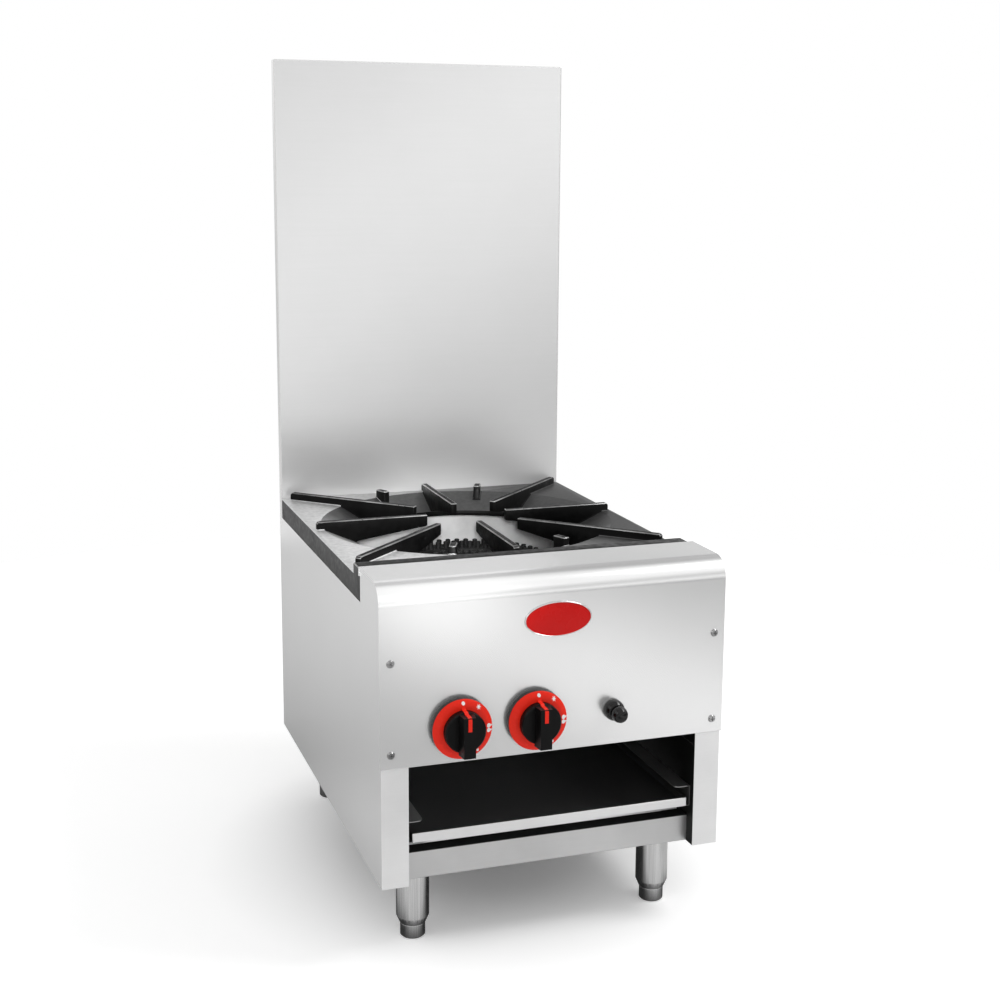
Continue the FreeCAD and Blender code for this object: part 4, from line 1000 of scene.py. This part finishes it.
# %% [markdown]
# The grate is one heavy casting. A copy of its mesh gets rounded edges and five finishes: the coat on the
# arms, a painted sheen on the plate, the dish's own painted sheen, wear with a painted highlight along the
# upper rounded edges, and a dull skirt at the left end.

# %% Cast grate
GRATE_ROUND = 1.3 * MM
GRATE_CREASE = math.radians(24.0)
SHARP_GRATE = math.radians(50.0)
COAT, PLATE, EDGE, SKIRT, DISH = range(5)
LEVEL = 0.99
DISH_SLOPE = (0.15, 0.985)
DISH_INSIDE = 150.0 * MM
PLATE_SLACK = 0.5 * MM
NEAR_PLATE = 4.0 * MM
SKIRT_DEPTH = 4.0 * MM
STEEP = 0.3


def finish_of_casting(face, plate_height):
    centre = face.calc_center_median()
    if face.normal.z > LEVEL and abs(centre.z - plate_height) < PLATE_SLACK:
        return PLATE
    from_middle = math.hypot(centre.x - burner_centre.x, centre.y - burner_centre.y)
    sloping = DISH_SLOPE[0] < face.normal.z < DISH_SLOPE[1]
    return DISH if sloping and centre.z < plate_height and from_middle > DISH_INSIDE else COAT


def finish_of_rounding(face, plate_height):
    above = face.calc_center_median().z - plate_height
    if face.normal.z <= STEEP or above <= -NEAR_PLATE:
        return COAT
    # the upper rounded edges get wear with a painted highlight
    return EDGE if above > NEAR_PLATE else PLATE


def cast_grate():
    built = merged_copy("top_grate")
    level_faces = [face for face in built.faces if face.normal.z > LEVEL]
    plate_height = max(level_faces, key=lambda face: face.calc_area()).calc_center_median().z
    for face in built.faces:
        face.material_index = finish_of_casting(face, plate_height)
    creases = [edge for edge in built.edges
               if len(edge.link_faces) == 2 and edge.calc_face_angle(0.0) > GRATE_CREASE]
    for face in rounded_edges(built, creases, GRATE_ROUND, steps=2, clamp=False)["faces"]:
        face.material_index = finish_of_rounding(face, plate_height)
    left_edge = min(vert.co.x for vert in built.verts)
    for face in built.faces:
        if abs(face.normal.z) < STEEP and face.calc_center_median().x < left_edge + SKIRT_DEPTH:
            face.material_index = SKIRT
        face.smooth = True
    thing = piece_from("cast_grate", built, grate_coat, grate_plate, grate_edge_wear_and_highlight, grate_skirt, grate_dish)
    thing.data.set_sharp_from_angle(angle=SHARP_GRATE)
    stand_for(thing, "top_grate")


cast_grate()

# %% [markdown]
# The stage is a white studio: a round pale floor under a white world. The camera sees both at white, and
# the floor keeps the stove's shadow. Sheet steel shows what it faces, so the studio that glossy rays see
# is shaded like a real one. Each shade is a level that follows (place, level) stops along a line, and
# the shades are multiplied, or the brighter of two is kept.


# %% Stage helpers
def level_along(tree, place, stops):
    """A level that follows (place, level) stops."""
    start = stops[0][0]
    end = stops[-1][0]
    shares = [((stop - start) / (end - start), level) for stop, level in stops]
    return ramp(tree, ranged(tree, place, start, end), *shares)


def either(tree, first, second):
    return arithmetic(tree, "MAXIMUM", first, second)


def product(tree, first, *others):
    for other in others:
        first = arithmetic(tree, "MULTIPLY", first, other)
    return first


def ray_kinds(tree):
    """Whether a ray comes from the camera, and whether it comes from a mirror or through glass."""
    rays = tree_node(tree, "ShaderNodeLightPath").outputs
    return rays["Is Camera Ray"], either(tree, rays["Is Glossy Ray"], rays["Is Transmission Ray"])


# %% [markdown]
# For the steel, a bright pool of light lies slantwise on the floor in front, the floor is dark under the
# stove, and it is a little darker at the left behind and at the right. The pool also glows where it is
# far off. For the camera, the floor glows so much that it is white and still shows the shadow. All
# places are in metres: along X, along Y, across the pool or from the middle.

# %% Floor
FLOOR_REACH = 2.05
FLOOR_STEPS = 96
FLOOR_LEVEL = 0.93
POOL_PLACE = Vector((0.345, -1.55))
POOL_NORMAL = Vector((0.947, -0.320))
CAMERA_GLOW = ((0.0, 0.08), (0.15, 0.12), (0.40, 0.38), (1.2, 0.45), (FLOOR_REACH, 0.50))
POOL_ACROSS = ((-1.2, 0.98), (-0.95, 0.90), (-0.75, 0.42), (-0.50, 0.32), (-0.30, 0.64), (-0.08, 0.98),
               (0.14, 0.98), (0.50, 0.62), (0.90, 0.55))
NEAR_STOVE_Y = ((-0.98, 0.0), (-0.74, 0.97))
UNDER_STOVE_Y = ((-0.30, 1.0), (-0.24, 0.10), (0.36, 0.30), (0.62, 1.0))
BESIDE_STOVE_X = ((0.21, 0.10), (0.27, 0.85), (0.34, 1.0))
LEFT_X = ((-0.60, 1.0), (-0.41, 0.74), (-0.31, 0.60), (-0.22, 0.55), (-0.05, 0.90), (0.1, 1.0))
AHEAD_Y = ((0.15, 1.0), (0.85, 0.0))
RIGHT_X = ((0.24, 1.0), (0.40, 0.66), (1.2, 0.76))
IN_FRONT_Y = ((-0.66, 1.0), (-0.42, 0.0))
POOL_GLOW_ACROSS = ((-0.30, 0.0), (-0.06, 0.60), (0.10, 0.60), (0.40, 0.08))
FAR_Y = ((-1.9, 1.0), (-1.5, 0.70), (-1.15, 0.44), (-0.95, 0.34), (-0.6, 0.0))

floor_mesh = bpy.data.meshes.new("floor")
edge_of_floor = [(FLOOR_REACH * x, FLOOR_REACH * y, 0.0) for y, x in circle(FLOOR_STEPS)]
floor_mesh.from_pydata(edge_of_floor, [], [tuple(range(FLOOR_STEPS))])
floor_finish, tree, shader = new_finish("pale_floor", Roughness=0.9, Emission_Color=(1.0, 1.0, 1.0, 1.0))
camera_ray, mirrored = ray_kinds(tree)
axes = object_axes(tree)
x, y = axes["X"], axes["Y"]
beside = arithmetic(tree, "ABSOLUTE", x)
from_middle = arithmetic(tree, "SQRT", arithmetic(tree, "MULTIPLY_ADD", x, x, product(tree, y, y)))
across = arithmetic(tree, "MULTIPLY_ADD", x, POOL_NORMAL.x, product(tree, y, POOL_NORMAL.y))
across = arithmetic(tree, "SUBTRACT", across, POOL_NORMAL.dot(POOL_PLACE))
shaded = product(
    tree,
    either(tree, level_along(tree, across, POOL_ACROSS), level_along(tree, y, NEAR_STOVE_Y)),
    either(tree, level_along(tree, y, UNDER_STOVE_Y), level_along(tree, beside, BESIDE_STOVE_X)),
    either(tree, level_along(tree, x, LEFT_X), level_along(tree, y, AHEAD_Y)),
    either(tree, level_along(tree, x, RIGHT_X), level_along(tree, y, IN_FRONT_Y)),
)
colour = tree_node(tree, "ShaderNodeMix", {"A": FLOOR_LEVEL}, Factor=mirrored, B=shaded)
pool_glow = product(tree, level_along(tree, across, POOL_GLOW_ACROSS), level_along(tree, y, FAR_Y))
glow = arithmetic(tree, "ADD", product(tree, mirrored, pool_glow),
                  product(tree, camera_ray, level_along(tree, from_middle, CAMERA_GLOW)))
feed(tree, shader, Base_Color=colour.outputs["Result"], Emission_Strength=glow)
floor = new_object("floor", floor_mesh, floor_finish)
print("floor of", FLOOR_REACH, "m")

# %% [markdown]
# For the steel, the studio's wall is brightest along a slanting band, which gives the splash sheet and the
# front their diagonal light. It is darker high up behind the stove and a little darker at the left. The
# camera sees the world at white, and other rays see it at a lower strength, which is the soft fill light.

# %% World
AMBIENT = 0.60
WALL_SLANT = 0.62
WALL = ((-0.60, 0.40), (-0.47, 0.22), (-0.40, 0.26), (-0.30, 0.68), (-0.235, 1.16), (-0.19, 1.46),
        (-0.15, 1.22), (-0.07, 0.72), (0.03, 0.46), (0.13, 0.70), (0.22, 1.12), (0.45, 1.12),
        (0.60, 0.80), (1.2, 1.0))
BEHIND_Y = ((0.05, 1.0), (0.30, 0.40))
LOW_Z = ((0.32, 1.0), (0.46, 0.0))
LEFTWARD_X = ((-0.8, 0.70), (-0.4, 1.0))

world = bpy.data.worlds.new("studio")
world.use_nodes = True
bpy.context.scene.world = world
tree = world.node_tree
background = tree.nodes["Background"]
background.inputs["Color"].default_value = (1.0, 1.0, 1.0, 1.0)
camera_ray, mirrored = ray_kinds(tree)
direction = tree_node(tree, "ShaderNodeTexCoord").outputs["Generated"]
heading = tree_node(tree, "ShaderNodeSeparateXYZ", Vector=direction).outputs
slant = arithmetic(tree, "SUBTRACT", heading["Z"], product(tree, heading["X"], WALL_SLANT))
wall = product(
    tree, level_along(tree, slant, WALL),
    either(tree, level_along(tree, heading["Y"], BEHIND_Y), level_along(tree, heading["Z"], LOW_Z)),
    level_along(tree, heading["X"], LEFTWARD_X),
)
plain = ranged(tree, camera_ray, 0.0, 1.0, AMBIENT, 1.0)
strength = arithmetic(tree, "ADD", product(tree, mirrored, wall),
                      product(tree, arithmetic(tree, "SUBTRACT", 1.0, mirrored), plain))
feed(tree, background, Strength=strength)
print("world with", len(tree.nodes), "nodes")

# %% [markdown]
# A large soft lamp at the upper right gives the shadows their direction, and a weak one at the left fills
# them. A narrow spot in front at the left shines through the hole of the grate on the sheet behind the
# burner, which would otherwise be lost in the dark.

# %% Lamps
STOVE_MIDDLE = (0.0, 0.0, 0.45)
INNER_BACK = (0.02, 0.31, 0.355)


def hang_lamp(name, kind, place, target, power, **settings):
    data = bpy.data.lights.new(name, kind)
    data.energy = power
    for setting, value in settings.items():
        setattr(data, setting, value)
    lamp = bpy.data.objects.new(name, data)
    lamp.location = place
    lamp.rotation_euler = (Vector(target) - Vector(place)).to_track_quat("-Z", "Y").to_euler()
    bpy.context.scene.collection.objects.link(lamp)
    print(name, "of", power, "W")


hang_lamp("key_lamp", "AREA", (2.0, -0.9, 2.7), STOVE_MIDDLE, 34.0, shape="DISK", size=1.2)
hang_lamp("left_fill_lamp", "AREA", (-2.2, -1.0, 1.9), STOVE_MIDDLE, 6.0, shape="DISK", size=1.4)
hang_lamp("burner_spot", "SPOT", (-0.66, -2.04, 1.0), INNER_BACK, 170.0, spot_size=math.radians(8.4),
          spot_blend=0.8, shadow_soft_size=0.05)

# %% [markdown]
# The camera stands where the photograph was taken: to the left of the stove, above the height of the
# grate, and turned towards it. Its place comes from a perspective fit of the cabinet's corners, in metres
# and degrees, with the picture taken as 1000 pixels square.

# %% Camera
CAMERA_PLACE = Vector((-0.6785, -2.0640, 0.9782))
CAMERA_YAW = math.radians(18.87)
CAMERA_PITCH = math.radians(10.11)
CAMERA_ROLL = math.radians(0.34)
CAMERA_LENS = 56.39
CAMERA_SENSOR = 36.0
CAMERA_SHIFT = -0.05
camera_data = bpy.data.cameras.new("camera")
camera_data.sensor_width = CAMERA_SENSOR
camera_data.lens = CAMERA_LENS
camera_data.shift_y = CAMERA_SHIFT
camera = bpy.data.objects.new("camera", camera_data)
camera.matrix_world = (Matrix.Translation(CAMERA_PLACE) @ Matrix.Rotation(-CAMERA_YAW, 4, "Z")
                       @ Matrix.Rotation(math.pi / 2 - CAMERA_PITCH, 4, "X")
                       @ Matrix.Rotation(CAMERA_ROLL, 4, "Z"))
bpy.context.scene.collection.objects.link(camera)
bpy.context.scene.camera = camera
bpy.context.scene.view_settings.view_transform = "Standard"
print("camera at", [round(value, 3) for value in CAMERA_PLACE])
